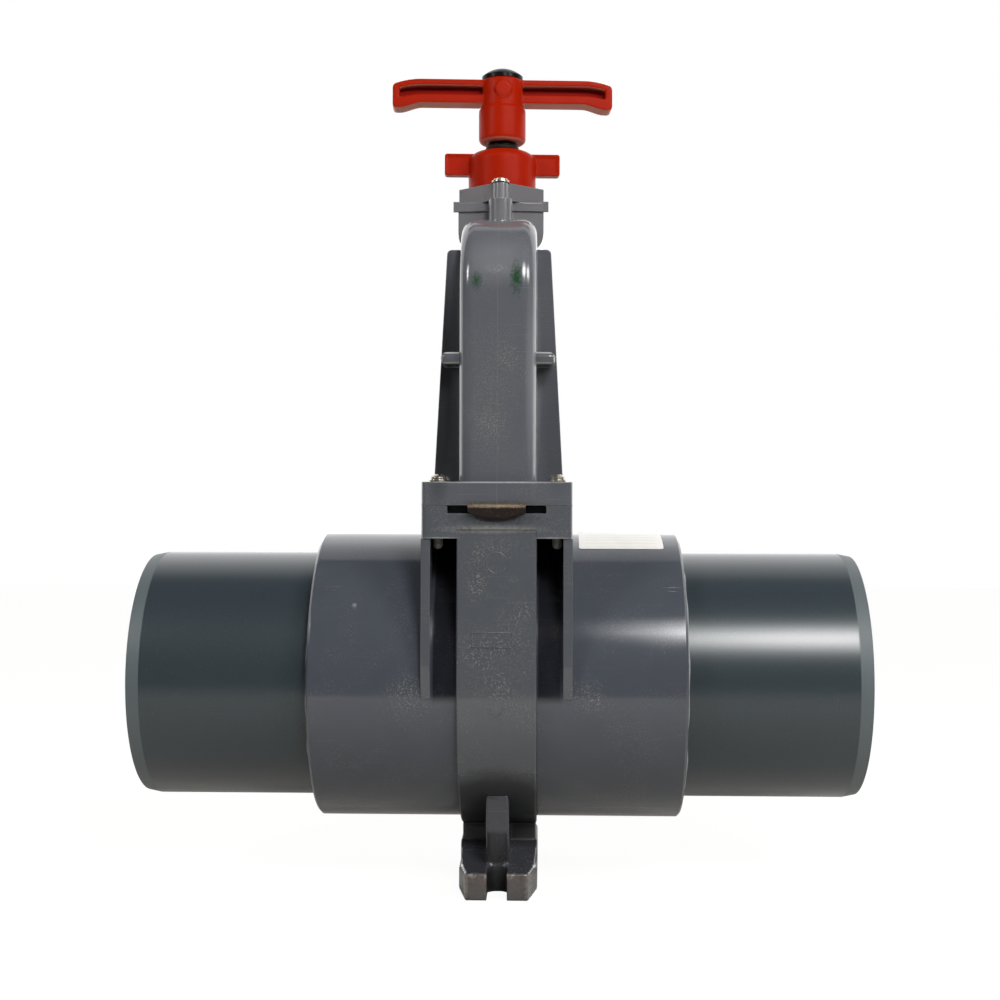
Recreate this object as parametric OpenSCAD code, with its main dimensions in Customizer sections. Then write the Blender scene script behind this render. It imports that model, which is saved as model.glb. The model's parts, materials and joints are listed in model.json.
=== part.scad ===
// Push-pull gate valve for a 160 mm pipe line, with glued pipe stubs.
// Millimetres. X runs along the pipe, -Y is the front, +Z is up.
// The origin is on the ground under the middle of the foot.

/* [Pipe] */
// Outside diameter of the pipe stubs
pipe_od = 160; // [150:1:170]
// Wall thickness of the pipe stubs
pipe_wall = 6.2; // [4:0.1:9]
// Distance from the middle of the valve to the open end of a stub
pipe_reach = 231; // [180:1:320]
// Length of the chamfer on the open end of a stub
pipe_chamfer_length = 8; // [2:0.5:12]
// Depth of the chamfer on the open end of a stub
pipe_chamfer_depth = 1.6; // [0.5:0.1:3]

/* [Sockets] */
// Outside diameter of the glued sockets
socket_od = 186.5; // [180:0.5:194]
// Distance from the middle of the valve to the mouth of a socket
socket_reach = 116.5; // [100:0.5:150]
// Distance from the middle of the valve to the pipe stop in a socket
pipe_stop = 30; // [27:1:40]

/* [Body] */
// Height of the pipe axis above the ground
axis_height = 132.5; // [125:0.5:160]
// Thickness of the gate housing along the pipe
housing_thickness = 48.5; // [46:0.5:54]
// Radius of the round bottom of the housing, and half its width
housing_radius = 98; // [97:0.5:104]
// Radius on the long edges of the housing
housing_edge = 1.2; // [0.8:0.2:3]
// Radius of the water way through the housing
water_way_radius = 73; // [60:1:73]

/* [Flange] */
// Length of the flange along the pipe
flange_length = 92; // [88:1:100]
// Underside of the lower flange, above the pipe axis
flange_bottom = 89.4; // [84:0.2:92]
// Joint between the two flanges, above the pipe axis
flange_seam = 109.5; // [106:0.5:114]
// Top of the upper flange, above the pipe axis
flange_top = 123.8; // [119:0.2:128]
// Thickness of the webs between the lower flange and the sockets
web_thickness = 5.6; // [4:0.2:8]

/* [Bonnet] */
// Thickness of the bonnet along the pipe
bonnet_thickness = 47.6; // [44:0.2:52]
// Width of the bonnet across the pipe
bonnet_width = 184; // [180:1:190]
// Top of the bonnet, above the pipe axis
bonnet_top = 294.2; // [286:0.2:300]
// Radius of the bonnet's shoulders
shoulder_radius = 50; // [40:1:60]
// Radius on the edges of the bonnet
bonnet_edge = 9; // [4:0.5:12]
// Width of the neck that carries the gland
neck_width = 56; // [52:1:60]

/* [Gate] */
// Thickness of the gate plate
gate_thickness = 12; // [10:0.5:12]
// Radius of the gate plate's round lower edge
gate_radius = 82; // [80:0.5:82]
// Diameter of the stem
stem_diameter = 18; // [16:1:18]

/* [Handle and lock nut] */
// Span of the T handle
handle_span = 147.6; // [120:0.2:180]
// Turn of the handle on its stem
handle_turn = 3.8; // [0:0.2:10]
// Height of an arm of the handle
arm_height = 16.2; // [14:0.2:18]
// Thickness of an arm of the handle
arm_thickness = 13.6; // [10:0.2:16]
// How far the tips of the arms hang below the middle
arm_droop = 3.8; // [2:0.2:8]
// Diameter of the handle's lower hub
hub_diameter = 31.6; // [29:0.2:34]
// Diameter of the lock nut
nut_diameter = 45.2; // [42:0.2:50]
// Span over the two wings of the lock nut
wing_span = 77.4; // [64:0.2:90]
// Turn of the lock nut on its thread
nut_turn = 3.6; // [0:0.2:10]

/* [Foot] */
// Length of the foot across the pipe
foot_length = 160; // [140:1:190]
// Width of the foot
foot_width = 49.6; // [44:0.2:60]
// Width of the foot's nose
foot_nose_width = 38.6; // [34:0.2:44]
// Thickness of the foot's base
foot_thickness = 16.4; // [14:0.2:22]
// Width of the bolt slots
bolt_slot_width = 12.4; // [9:0.2:14]
// Depth of the bolt slots
bolt_slot_depth = 25; // [16:0.5:26]

/* [Hidden] */

$fn = 96;
eps = 0.5; // how far a cutting shape runs past the face that it cuts

body_grey = "#55585c";
pipe_grey = "#3f464b";
handle_red = "#b3261a";
rubber_black = "#1b1b1c";
screw_steel = "#b9b6ad";
gate_grey = "#6a6d70";

// Pipe and sockets
pipe_radius = pipe_od / 2;
pipe_bore_radius = pipe_radius - pipe_wall;
socket_radius = socket_od / 2;
socket_edge = 1.5;
glue_radius = pipe_radius - 0.7;        // a stub is pressed down to this in its socket

// Housing and flange
housing_half = housing_thickness / 2;
flange_half = flange_length / 2;
strip_step = 0.6;                       // the flanges stand this far proud of the housing's narrow faces
flange_half_width = housing_radius + strip_step;
flange_corner = 4;
chamber_half = gate_thickness / 2 + 5;  // 5 mm clear on both faces of the gate
chamber_radius = gate_radius + 5;       // and round its edge
web_outer = flange_half;
web_foot_drop = 8;                      // the webs run out this far below the axis
web_shoulder = 12;                      // and start to taper this far above it
strip_step_height = 94.8;

// Seals
seal_inner_radius = 75.5;
seal_outer_radius = 81;
seal_depth = 4;
seal_gap = 0.4;
gasket_depth = 2;
gasket_slot_half = 30;
gasket_slot_height = 4.8;
gasket_slot_depth = 9;
gasket_tab_half = 17.5;
gasket_tab_reach = 3.2;
gasket_lip_top = 110.3;
gasket_lip_bottom = 101.7;
gasket_lip_radius = 43.4;               // radius of the lip's bulging lower edge
gasket_half = 18;

// Flange screws: four at the corners, which come out under the flange, and four short ones
screw_x = 36.7;
middle_screw_x = 39.4;
corner_screw_y = 80;
middle_screw_y = 27;
screw_radius = 3;
screw_head_radius = 6.4;
screw_head_height = 5.6;
corner_screw_end = flange_bottom - 6.4;
middle_screw_end = flange_bottom + 6;
screw_places = [
    [-screw_x, -corner_screw_y], [screw_x, -corner_screw_y],
    [-middle_screw_x, -middle_screw_y], [middle_screw_x, -middle_screw_y],
    [-middle_screw_x, middle_screw_y], [middle_screw_x, middle_screw_y],
    [-screw_x, corner_screw_y], [screw_x, corner_screw_y]
];

// Bonnet
bonnet_half = bonnet_thickness / 2;
bonnet_half_width = bonnet_width / 2;
shoulder_y = bonnet_half_width - shoulder_radius;
shoulder_z = bonnet_top - shoulder_radius;
bonnet_wall = bonnet_half_width - chamber_radius;
bonnet_chamber_half = 16;
panel_half = bonnet_half + 2;
panel_half_width = 64;
panel_top = 268;
rib_thickness = 6;
rib_places = [-61, 0, 61];
rib_foot_x = 40.5;
rib_head_x = 32.8;
rib_top = 271.5;
rib_corner = 3;
belt_z = 200.8;                          // the level rib round the bonnet
belt_half = 3.6;
belt_x = 35.2;
belt_half_length = 84;
neck_half = neck_width / 2;
neck_foot_z = 272;
neck_round = [                          // half width and height where the sides curve into the case
    [bonnet_half - 1, 279.5], [neck_half - 2.6, 281.6], [neck_half - 1, 284.2],
    [neck_half - 0.3, 287], [neck_half, 290.5]
];
neck_side_y = 25.2;                     // the front and back faces are bent, and stand out in the middle
neck_middle_y = 27.4;
neck_plate_bottom = 304;
neck_plate_top = 309.8;
neck_plate_overhang = 1.4;              // the plate stands this far in front of the neck
neck_lug_x = 31.2;                      // lugs at the plate's front corners
neck_lug_depth = 2.4;
neck_lug_top = 310.5;

// Gland
gland_top = 320.9;
gland_half_width = 28;
gland_flat = 16;
gland_screw_y = 35;
gland_nose_radius = 4.8;
gland_nose_meet = -4;                   // the straight sides run into the nose at this angle
gland_boss_radius = 7.8;
gland_screw_radius = 2.5;
gland_screw_head_radius = 5.8;
gland_screw_head_height = 3.8;
gland_spigot_radius = 15.5;
gland_spigot_top = 338;
gland_bore_radius = stem_diameter / 2 + 0.6;

// Lock nut
nut_radius = nut_diameter / 2;
nut_bottom = 322.1;
nut_top = 349.2;
nut_crown = 6.5;                        // height of the rounded crown
nut_crown_radius = 14;                  // radius of the flat on top
nut_cavity_radius = 16.4;
nut_cavity_top = 341;
nut_bore_radius = 11.8;
wing_bottom = 333.5;
wing_top = 348.1;
wing_thickness = 7.4;
wing_edge = 1.5;
wing_rim = 1.6;                         // raised rim round a wing's shallow panels
wing_panel_depth = 0.6;
wing_panel_start = 19;

// Collet round the stem, inside the lock nut
collet_inner_radius = stem_diameter / 2 + 0.6;
collet_outer_radius = 11.2;
collet_bottom = 331;
collet_top = 349;
collet_seat_radius = 13;

// Gate, stem and handle
stem_radius = stem_diameter / 2;
gate_top = 92;
lug_half_width = 14;
lug_thickness = 8;
lug_top = 114;
pin_radius = 3;
pin_z = 104;
stem_slot_top = 115;
hub_radius = hub_diameter / 2;
hub_bottom = 355.6;
hub_step = 379;
hub_neck_radius = 14.4;
hub_top = 398;
hub_foot_round = 3;
stem_top = 393;
arm_middle = 389.5;
arm_half = arm_height / 2;
arm_bend = 54;                          // the arms start to hang here
arm_steps = 7;
arm_toe = 4.4;                          // flat end of the underside
arm_toe_drop = 3.6;
arm_toe_round = 2.6;
arm_recess_depth = 5.7;
arm_top_rim = 4.2;
arm_recess_height = 6.2;
arm_tip_rim = 4.7;
arm_recess_start = 14.8;
disc_radius = 5.5;
disc_reach = 15;
bumper_radius = 11.4;
bumper_bottom = 349.6;
bumper_top = 353.4;
cap_radius = 13.8;
cap_side = 2.8;
cap_rise = 5.4;

// Foot
foot_half = foot_length / 2;
foot_taper_start = 48;
foot_chamfer = 2.4;
foot_ramp_start = 52;                   // the base rises to the post from here
foot_ramp_rise = 10;
foot_ramp_half = 22.8;                  // half width of the ramp at its foot
foot_post_half_x = 23.5;
foot_post_half_y = 26;
foot_fillet = 6;                        // round between the post and the housing
foot_rib_half = 7.1;
foot_rib_reach = 69;
foot_rib_bend = 40;                     // the rib's front slants back below this height
foot_rib_toe = 54;
slot_radius = bolt_slot_width / 2;

// Places a shape's own X, Y and Z on Y, Z and X, so that a profile runs along the pipe.
module along_pipe(length) {
    rotate([90, 0, 90])
        linear_extrude(height = length, center = true) children();
}

// Runs a profile that is drawn in X and Z across the pipe.
module across_pipe(length) {
    rotate([90, 0, 0])
        linear_extrude(height = length, center = true) children();
}

// Cylinder on the pipe axis, from one X to another.
module pipe_axis_cylinder(radius, from_x, to_x) {
    translate([from_x, 0, axis_height])
        rotate([0, 90, 0]) cylinder(r = radius, h = to_x - from_x);
}

// Puts a shape that is drawn from the pipe axis at its height above the ground.
module at_axis() {
    translate([0, 0, axis_height]) children();
}

// Mirrors a shape to the other end of the pipe line as well.
module both_ends() {
    children();
    mirror([1, 0, 0]) children();
}

// Mirrors a shape to the back as well.
module front_and_back() {
    children();
    mirror([0, 1, 0]) children();
}

// Upright outline with a round bottom: the shape of the gate and of its housing.
module gate_outline(radius, top) {
    circle(r = radius);
    translate([-radius, 0]) square([2 * radius, top]);
}

// Section through a slab's rounded edge: from 0 out to a reach in X, and the thickness in Y.
module edge_section(reach, half, edge) {
    translate([0, -half]) square([reach - edge, 2 * half]);
    translate([0, -half + edge]) square([reach, 2 * (half - edge)]);
    for (y = [-1, 1]) translate([reach - edge, y * (half - edge)])
        circle(r = edge, $fn = 48);
}

// The housing's slab: a round bottom and straight sides, all with rounded edges.
module housing_slab() {
    rotate([90, 0, 90]) rotate([0, 0, 180]) rotate_extrude(angle = 180)
        edge_section(housing_radius, housing_half, housing_edge);
    front_and_back() linear_extrude(height = flange_seam)
        rotate([0, 0, 90]) edge_section(housing_radius, housing_half, housing_edge);
}

// A flange plate with rounded corners, between two heights.
module flange_plate(bottom, top) {
    reach_x = flange_half - flange_corner;
    reach_y = flange_half_width - flange_corner;
    translate([0, 0, bottom]) linear_extrude(height = top - bottom) {
        square([2 * flange_half, 2 * reach_y], center = true);
        square([2 * reach_x, 2 * flange_half_width], center = true);
        for (x = [-reach_x, reach_x], y = [-reach_y, reach_y])
            translate([x, y]) circle(r = flange_corner, $fn = 48);
    }
}

// Web that carries the lower flange on a socket, tapering out beside the axis.
module flange_web() {
    translate([web_outer - web_thickness / 2, 0, 0]) along_pipe(web_thickness)
        polygon([
            [-flange_half_width + 1, flange_bottom], [flange_half_width - 1, flange_bottom],
            [flange_half_width - 1, web_shoulder], [socket_radius, -web_foot_drop],
            [-socket_radius, -web_foot_drop], [-flange_half_width + 1, web_shoulder]
        ]);
}

// Gate housing, lower flange and webs, moulded in one.
module valve_body() {
    color(body_grey) at_axis() difference() {
        union() {
            housing_slab();
            difference() {
                union() {
                    flange_plate(flange_bottom, flange_seam);
                    both_ends() flange_web();
                }
                both_ends() translate([housing_half, 0, 0]) rotate([0, 90, 0])
                    cylinder(r = socket_radius, h = flange_half);
            }
        }
        // chamber for the gate, open at the top
        along_pipe(2 * chamber_half) gate_outline(chamber_radius, flange_seam + eps);
        // water way and grooves for the seat seals
        rotate([0, 90, 0])
            cylinder(r = water_way_radius, h = housing_thickness + 2 * eps, center = true);
        both_ends() translate([chamber_half - eps, 0, 0]) rotate([0, 90, 0]) difference() {
            cylinder(r = seal_outer_radius, h = seal_depth + eps);
            translate([0, 0, -eps]) cylinder(r = seal_inner_radius, h = seal_depth + 3 * eps);
        }
        // groove for the gasket, and the slots where its tabs come out
        translate([0, 0, flange_seam - gasket_depth / 2 + eps / 2])
            cube([2 * gasket_half, 2 * (flange_half_width - gasket_slot_depth + eps),
                  gasket_depth + eps], center = true);
        front_and_back()
            translate([-gasket_slot_half, -flange_half_width - eps, flange_seam - gasket_slot_height])
                cube([2 * gasket_slot_half, gasket_slot_depth + eps, gasket_slot_height + eps]);
        // the narrow faces run on a little way into the flange
        front_and_back()
            translate([-housing_half, -flange_half_width - eps, flange_bottom - eps])
                cube([housing_thickness, strip_step + eps, strip_step_height - flange_bottom + eps]);
        for (place = screw_places)
            translate([place[0], place[1], screw_end(place)])
                cylinder(r = screw_radius, h = flange_seam - screw_end(place) + eps, $fn = 32);
    }
}

function screw_end(place) = abs(place[1]) == corner_screw_y ? corner_screw_end : middle_screw_end;

// The foot's base, with its upper side edges chamfered.
module foot_base() {
    intersection() {
        linear_extrude(height = foot_thickness) polygon([
            [-foot_width / 2, -foot_taper_start], [-foot_nose_width / 2, -foot_half],
            [foot_nose_width / 2, -foot_half], [foot_width / 2, -foot_taper_start],
            [foot_width / 2, foot_taper_start], [foot_nose_width / 2, foot_half],
            [-foot_nose_width / 2, foot_half], [-foot_width / 2, foot_taper_start]
        ]);
        across_pipe(foot_length) polygon([
            [-foot_width / 2, 0], [foot_width / 2, 0], [foot_width / 2, foot_thickness - foot_chamfer],
            [foot_width / 2 - foot_chamfer, foot_thickness],
            [-foot_width / 2 + foot_chamfer, foot_thickness],
            [-foot_width / 2, foot_thickness - foot_chamfer]
        ]);
    }
}

// The two ramps from the base up to the post.
module foot_ramp() {
    top = foot_thickness + foot_ramp_rise;
    intersection() {
        linear_extrude(height = top) polygon([
            [-foot_ramp_half, -foot_ramp_start], [foot_ramp_half, -foot_ramp_start],
            [foot_width / 2, -foot_post_half_y], [foot_width / 2, foot_post_half_y],
            [foot_ramp_half, foot_ramp_start], [-foot_ramp_half, foot_ramp_start],
            [-foot_width / 2, foot_post_half_y], [-foot_width / 2, -foot_post_half_y]
        ]);
        along_pipe(2 * foot_width) polygon([
            [-foot_ramp_start, 0], [-foot_ramp_start, foot_thickness], [-foot_post_half_y, top],
            [foot_post_half_y, top], [foot_ramp_start, foot_thickness], [foot_ramp_start, 0]
        ]);
    }
}

// Rounds off the corner between the post and the underside of the housing.
module foot_fillets() {
    middle_y = foot_post_half_y + foot_fillet;
    reach = housing_radius + foot_fillet - 0.06;
    drop = sqrt(reach * reach - middle_y * middle_y);
    touch_y = middle_y * housing_radius / reach;
    front_and_back() along_pipe(2 * foot_post_half_x) difference() {
        translate([-touch_y, axis_height - drop])
            square([touch_y - foot_post_half_y + eps, foot_fillet + 2]);
        translate([-middle_y, axis_height - drop]) circle(r = foot_fillet, $fn = 48);
    }
}

// Foot: a base with an open bolt slot at each end, a post and a rib up to the housing.
module mounting_foot() {
    color(body_grey) difference() {
        union() {
            foot_base();
            foot_ramp();
            translate([-foot_post_half_x, -foot_post_half_y, 0])
                cube([2 * foot_post_half_x, 2 * foot_post_half_y, axis_height - housing_radius / 2]);
            foot_fillets();
            along_pipe(2 * foot_rib_half) polygon([
                [-foot_rib_toe, foot_thickness - eps], [-foot_rib_toe, foot_thickness],
                [-foot_rib_reach, foot_rib_bend], [-foot_rib_reach, axis_height],
                [foot_rib_reach, axis_height], [foot_rib_reach, foot_rib_bend],
                [foot_rib_toe, foot_thickness], [foot_rib_toe, foot_thickness - eps]
            ]);
        }
        pipe_axis_cylinder(housing_radius, -foot_width, foot_width);
        front_and_back() translate([0, -foot_half + bolt_slot_depth - slot_radius, -eps]) {
            cylinder(r = slot_radius, h = foot_thickness + 2 * eps);
            translate([-slot_radius, -bolt_slot_depth, 0])
                cube([bolt_slot_width, bolt_slot_depth, foot_thickness + 2 * eps]);
        }
    }
}

// Profile of a socket, from its axis outwards, along the pipe.
module socket_profile() {
    polygon([
        [water_way_radius, housing_half], [socket_radius, housing_half],
        [socket_radius, socket_reach - socket_edge], [socket_radius - socket_edge, socket_reach],
        [glue_radius, socket_reach], [glue_radius, pipe_stop], [water_way_radius, pipe_stop]
    ]);
}

// Socket on the outlet side: +X.
module socket() {
    color(body_grey) at_axis() rotate([0, 90, 0]) rotate_extrude() socket_profile();
}

// Pipe stub on the outlet side: +X, with its open end chamfered for the next socket.
module pipe_stub() {
    color(pipe_grey) at_axis() rotate([0, 90, 0]) rotate_extrude() polygon([
        [pipe_bore_radius, pipe_stop], [glue_radius, pipe_stop],
        [glue_radius, socket_reach], [pipe_radius, socket_reach],
        [pipe_radius, pipe_reach - pipe_chamfer_length],
        [pipe_radius - pipe_chamfer_depth, pipe_reach], [pipe_bore_radius, pipe_reach]
    ]);
}

// Lip seal between the outlet side of the housing and the gate.
module seat_seal() {
    color(rubber_black) at_axis() rotate([0, 90, 0]) rotate_extrude() polygon([
        [seal_inner_radius, chamber_half + seal_depth], [seal_outer_radius, chamber_half + seal_depth],
        [seal_outer_radius, chamber_half], [seal_outer_radius - 2, gate_thickness / 2 + seal_gap],
        [seal_inner_radius + 1, gate_thickness / 2 + seal_gap], [seal_inner_radius, chamber_half]
    ]);
}

// Flat gasket round the mouth of the chamber, with a tab in each slot.
module flange_gasket() {
    reach = flange_half_width - gasket_slot_depth;
    color(rubber_black) at_axis() {
        translate([0, 0, flange_seam - gasket_depth]) linear_extrude(height = gasket_depth) difference() {
            square([2 * gasket_half, 2 * reach], center = true);
            square([2 * chamber_half, 2 * chamber_radius], center = true);
        }
        front_and_back() {
            translate([-gasket_tab_half, -flange_half_width, flange_seam - gasket_slot_height])
                cube([2 * gasket_tab_half, gasket_slot_depth, gasket_slot_height]);
            translate([0, -flange_half_width - gasket_tab_reach / 2, 0]) gasket_lip();
        }
    }
}

// Lip of a gasket tab outside its slot, with a bulging lower edge.
module gasket_lip() {
    across_pipe(gasket_tab_reach) intersection() {
        translate([-gasket_tab_half, gasket_lip_bottom])
            square([2 * gasket_tab_half, gasket_lip_top - gasket_lip_bottom]);
        translate([0, gasket_lip_bottom + gasket_lip_radius]) circle(r = gasket_lip_radius, $fn = 180);
    }
}

// Upright outline of the bonnet's chamber with round shoulders, drawn in Y and Z.
module chamber_outline(inset, bottom) {
    half = bonnet_half_width - inset;
    translate([-half, bottom]) square([2 * half, shoulder_z - bottom]);
    translate([-shoulder_y, bottom]) square([2 * shoulder_y, bonnet_top - inset - bottom]);
    for (y = [-shoulder_y, shoulder_y])
        translate([y, shoulder_z]) circle(r = shoulder_radius - inset);
}

// The bonnet's case: straight sides, a straight top and two round shoulders, all with rounded edges.
module bonnet_case() {
    front_and_back() {
        translate([0, 0, flange_top]) linear_extrude(height = shoulder_z - flange_top)
            rotate([0, 0, 90]) edge_section(bonnet_half_width, bonnet_half, bonnet_edge);
        translate([0, shoulder_y, shoulder_z]) rotate([90, 0, 90])
            rotate_extrude(angle = 90) edge_section(shoulder_radius, bonnet_half, bonnet_edge);
    }
    translate([0, 0, shoulder_z]) across_pipe(2 * shoulder_y)
        rotate([0, 0, 90]) edge_section(shoulder_radius, bonnet_half, bonnet_edge);
}

// Upright rib on both flat faces of the bonnet, wider at its foot.
module bonnet_rib() {
    across_pipe(rib_thickness) {
        polygon([
            [-rib_foot_x, flange_top], [rib_foot_x, flange_top],
            [rib_head_x, rib_top - rib_corner], [rib_head_x - rib_corner, rib_top],
            [-rib_head_x + rib_corner, rib_top], [-rib_head_x, rib_top - rib_corner]
        ]);
        for (x = [-1, 1])
            translate([x * (rib_head_x - rib_corner), rib_top - rib_corner])
                circle(r = rib_corner, $fn = 32);
    }
}

// Level rib round both flat faces of the bonnet, with a round nose.
module bonnet_belt() {
    translate([0, 0, belt_z]) across_pipe(2 * belt_half_length) {
        square([2 * (belt_x - belt_half), 2 * belt_half], center = true);
        for (x = [-1, 1])
            translate([x * (belt_x - belt_half), 0]) circle(r = belt_half, $fn = 48);
    }
}

// Outline of the neck seen from above: its front and back faces are bent along their middle.
module neck_outline(overhang) {
    side = neck_side_y + overhang;
    middle = neck_middle_y + overhang;
    polygon([
        [-neck_half, -side], [-gland_boss_radius, -middle],
        [gland_boss_radius, -middle], [neck_half, -side],
        [neck_half, side], [gland_boss_radius, middle],
        [-gland_boss_radius, middle], [-neck_half, side]
    ]);
}

// Neck with the plate that the gland stands on, and a boss for each gland screw.
module bonnet_neck() {
    plate_front = neck_side_y + neck_plate_overhang;
    intersection() {
        translate([0, 0, neck_foot_z])
            linear_extrude(height = neck_plate_top - neck_foot_z) neck_outline(0);
        across_pipe(3 * neck_middle_y) polygon(concat(
            [[bonnet_half - 1, neck_foot_z]], neck_round, [[neck_half, neck_plate_top + eps]],
            [[-neck_half, neck_plate_top + eps]],
            [for (i = [len(neck_round) - 1 : -1 : 0]) [-neck_round[i][0], neck_round[i][1]]],
            [[-bonnet_half + 1, neck_foot_z]]
        ));
    }
    translate([0, 0, neck_plate_bottom])
        linear_extrude(height = neck_plate_top - neck_plate_bottom) neck_outline(neck_plate_overhang);
    for (x = [-neck_lug_x, neck_half - 1]) translate([x, -plate_front, neck_plate_bottom])
        cube([neck_lug_x - neck_half + 1, neck_lug_depth, neck_lug_top - neck_plate_bottom]);
    front_and_back() {
        translate([0, -gland_screw_y, bonnet_top - 2 * bonnet_edge])
            cylinder(r = gland_boss_radius, h = neck_plate_top - bonnet_top + 2 * bonnet_edge, $fn = 48);
        translate([-gland_boss_radius, -gland_screw_y, bonnet_top - bonnet_edge])
            cube([2 * gland_boss_radius, gland_screw_y - neck_side_y,
                  neck_plate_top - bonnet_top + bonnet_edge]);
    }
}

// Bonnet: upper flange, hollow case, ribs and neck, moulded in one.
module bonnet() {
    color(body_grey) at_axis() difference() {
        union() {
            flange_plate(flange_seam, flange_top);
            bonnet_case();
            translate([-panel_half, -panel_half_width, flange_top])
                cube([2 * panel_half, 2 * panel_half_width, panel_top - flange_top]);
            for (y = rib_places) translate([0, y, 0]) bonnet_rib();
            bonnet_belt();
            bonnet_neck();
        }
        // room for the lifted gate
        along_pipe(2 * bonnet_chamber_half) chamber_outline(bonnet_wall, flange_seam - eps);
        translate([0, 0, bonnet_top - bonnet_edge])
            cylinder(r = gland_bore_radius, h = gland_top - bonnet_top, $fn = 64);
        for (place = screw_places) translate([place[0], place[1], flange_seam - eps])
            cylinder(r = screw_radius, h = flange_top - flange_seam + 2 * eps, $fn = 32);
        for (y = [-gland_screw_y, gland_screw_y]) translate([0, y, bonnet_top])
            cylinder(r = gland_screw_radius, h = neck_plate_top - bonnet_top + eps, $fn = 32);
    }
}

// Diamond outline of the gland plate, whose round nose stands proud at the front and back.
module gland_outline() {
    side = gland_half_width;
    meet = gland_nose_radius * cos(gland_nose_meet);
    tip = gland_screw_y + gland_nose_radius * sin(gland_nose_meet);
    polygon([
        [side, -gland_flat], [side, gland_flat], [meet, tip], [-meet, tip],
        [-side, gland_flat], [-side, -gland_flat], [-meet, -tip], [meet, -tip]
    ]);
    for (y = [-gland_screw_y, gland_screw_y])
        translate([0, y]) circle(r = gland_nose_radius, $fn = 48);
}

// Gland: the plate screwed to the neck, with the spigot that carries the lock nut.
module gland_plate() {
    color(body_grey) at_axis() difference() {
        union() {
            translate([0, 0, neck_plate_top])
                linear_extrude(height = gland_top - neck_plate_top) gland_outline();
            translate([0, 0, gland_top])
                cylinder(r = gland_spigot_radius, h = gland_spigot_top - gland_top);
        }
        translate([0, 0, neck_plate_top - eps])
            cylinder(r = gland_bore_radius, h = gland_spigot_top - neck_plate_top + 2 * eps, $fn = 64);
        translate([0, 0, collet_bottom])
            cylinder(r = collet_seat_radius, h = gland_spigot_top - collet_bottom + eps, $fn = 64);
        for (y = [-gland_screw_y, gland_screw_y]) translate([0, y, neck_plate_top - eps])
            cylinder(r = gland_screw_radius, h = gland_top - neck_plate_top + 2 * eps, $fn = 32);
    }
}

// Split clamp ring that the lock nut squeezes on the stem.
module stem_collet() {
    color(rubber_black) at_axis() rotate_extrude() polygon([
        [collet_inner_radius, collet_bottom], [collet_seat_radius, collet_bottom],
        [collet_seat_radius, gland_spigot_top], [collet_outer_radius, nut_cavity_top],
        [collet_outer_radius, collet_top], [collet_inner_radius, collet_top]
    ]);
}

// Pan head with a washer rim and a hexagon socket, standing on z = 0.
module screw_head(radius, height) {
    rim = height * 0.3;
    head_radius = radius * 0.8;
    dome = height * 0.4;
    sphere_radius = (head_radius * head_radius + dome * dome) / (2 * dome);
    difference() {
        union() {
            cylinder(r = radius, h = rim, $fn = 48);
            cylinder(r = head_radius, h = height - dome, $fn = 48);
            intersection() {
                translate([0, 0, height - sphere_radius]) sphere(r = sphere_radius, $fn = 64);
                translate([0, 0, height - dome - eps])
                    cylinder(r = head_radius, h = dome + 2 * eps, $fn = 48);
            }
        }
        translate([0, 0, height * 0.5]) cylinder(r = radius * 0.4, h = height, $fn = 6);
    }
}

// Flange screw, with a rounded end where it comes out below.
module flange_screw(index) {
    place = screw_places[index];
    end = screw_end(place);
    color(screw_steel) at_axis() translate([place[0], place[1], 0]) {
        translate([0, 0, flange_top]) screw_head(screw_head_radius, screw_head_height);
        translate([0, 0, end + screw_radius])
            cylinder(r = screw_radius, h = flange_top - end - screw_radius, $fn = 32);
        translate([0, 0, end + screw_radius]) sphere(r = screw_radius, $fn = 32);
    }
}

// Gland screw, at the front for side = -1 and at the back for side = 1.
module gland_screw(side) {
    color(screw_steel) at_axis() translate([0, side * gland_screw_y, 0]) {
        translate([0, 0, gland_top]) screw_head(gland_screw_head_radius, gland_screw_head_height);
        translate([0, 0, bonnet_top]) cylinder(r = gland_screw_radius, h = gland_top - bonnet_top, $fn = 32);
    }
}

// Rounded crown of the lock nut, as a stack of radius and height.
function crown_point(angle) = [
    nut_crown_radius + (nut_radius - nut_crown_radius) * cos(angle),
    nut_top - nut_crown + nut_crown * sin(angle)
];

// Upright outline of a wing pair, shrunk by an inset.
module wing_outline(inset) {
    half_span = wing_span / 2 - inset;
    half_height = (wing_top - wing_bottom) / 2 - inset;
    edge = max(wing_edge - inset, 0.6);
    square([2 * half_span, 2 * (half_height - edge)], center = true);
    square([2 * (half_span - edge), 2 * half_height], center = true);
    for (x = [-1, 1], z = [-1, 1])
        translate([x * (half_span - edge), z * (half_height - edge)]) circle(r = edge, $fn = 32);
}

// Lock nut with two wings, hollow over the gland's spigot.
module lock_nut() {
    color(handle_red) at_axis() rotate([0, 0, nut_turn]) difference() {
        union() {
            rotate_extrude() polygon(concat(
                [[0, nut_bottom], [nut_radius - 0.6, nut_bottom], [nut_radius, nut_bottom + 0.6]],
                [for (angle = [0 : 15 : 90]) crown_point(angle)],
                [[0, nut_top]]
            ));
            difference() {
                across_pipe(wing_thickness)
                    translate([0, (wing_bottom + wing_top) / 2]) wing_outline(0);
                front_and_back() translate([0, -wing_thickness / 2, (wing_bottom + wing_top) / 2])
                    across_pipe(2 * wing_panel_depth) difference() {
                        wing_outline(wing_rim);
                        square([2 * wing_panel_start, wing_top], center = true);
                    }
            }
        }
        translate([0, 0, nut_bottom - eps])
            cylinder(r = nut_cavity_radius, h = nut_cavity_top - nut_bottom + eps);
        translate([0, 0, nut_cavity_top - eps])
            cylinder(r = nut_bore_radius, h = nut_top - nut_cavity_top + 2 * eps, $fn = 64);
    }
}

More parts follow.
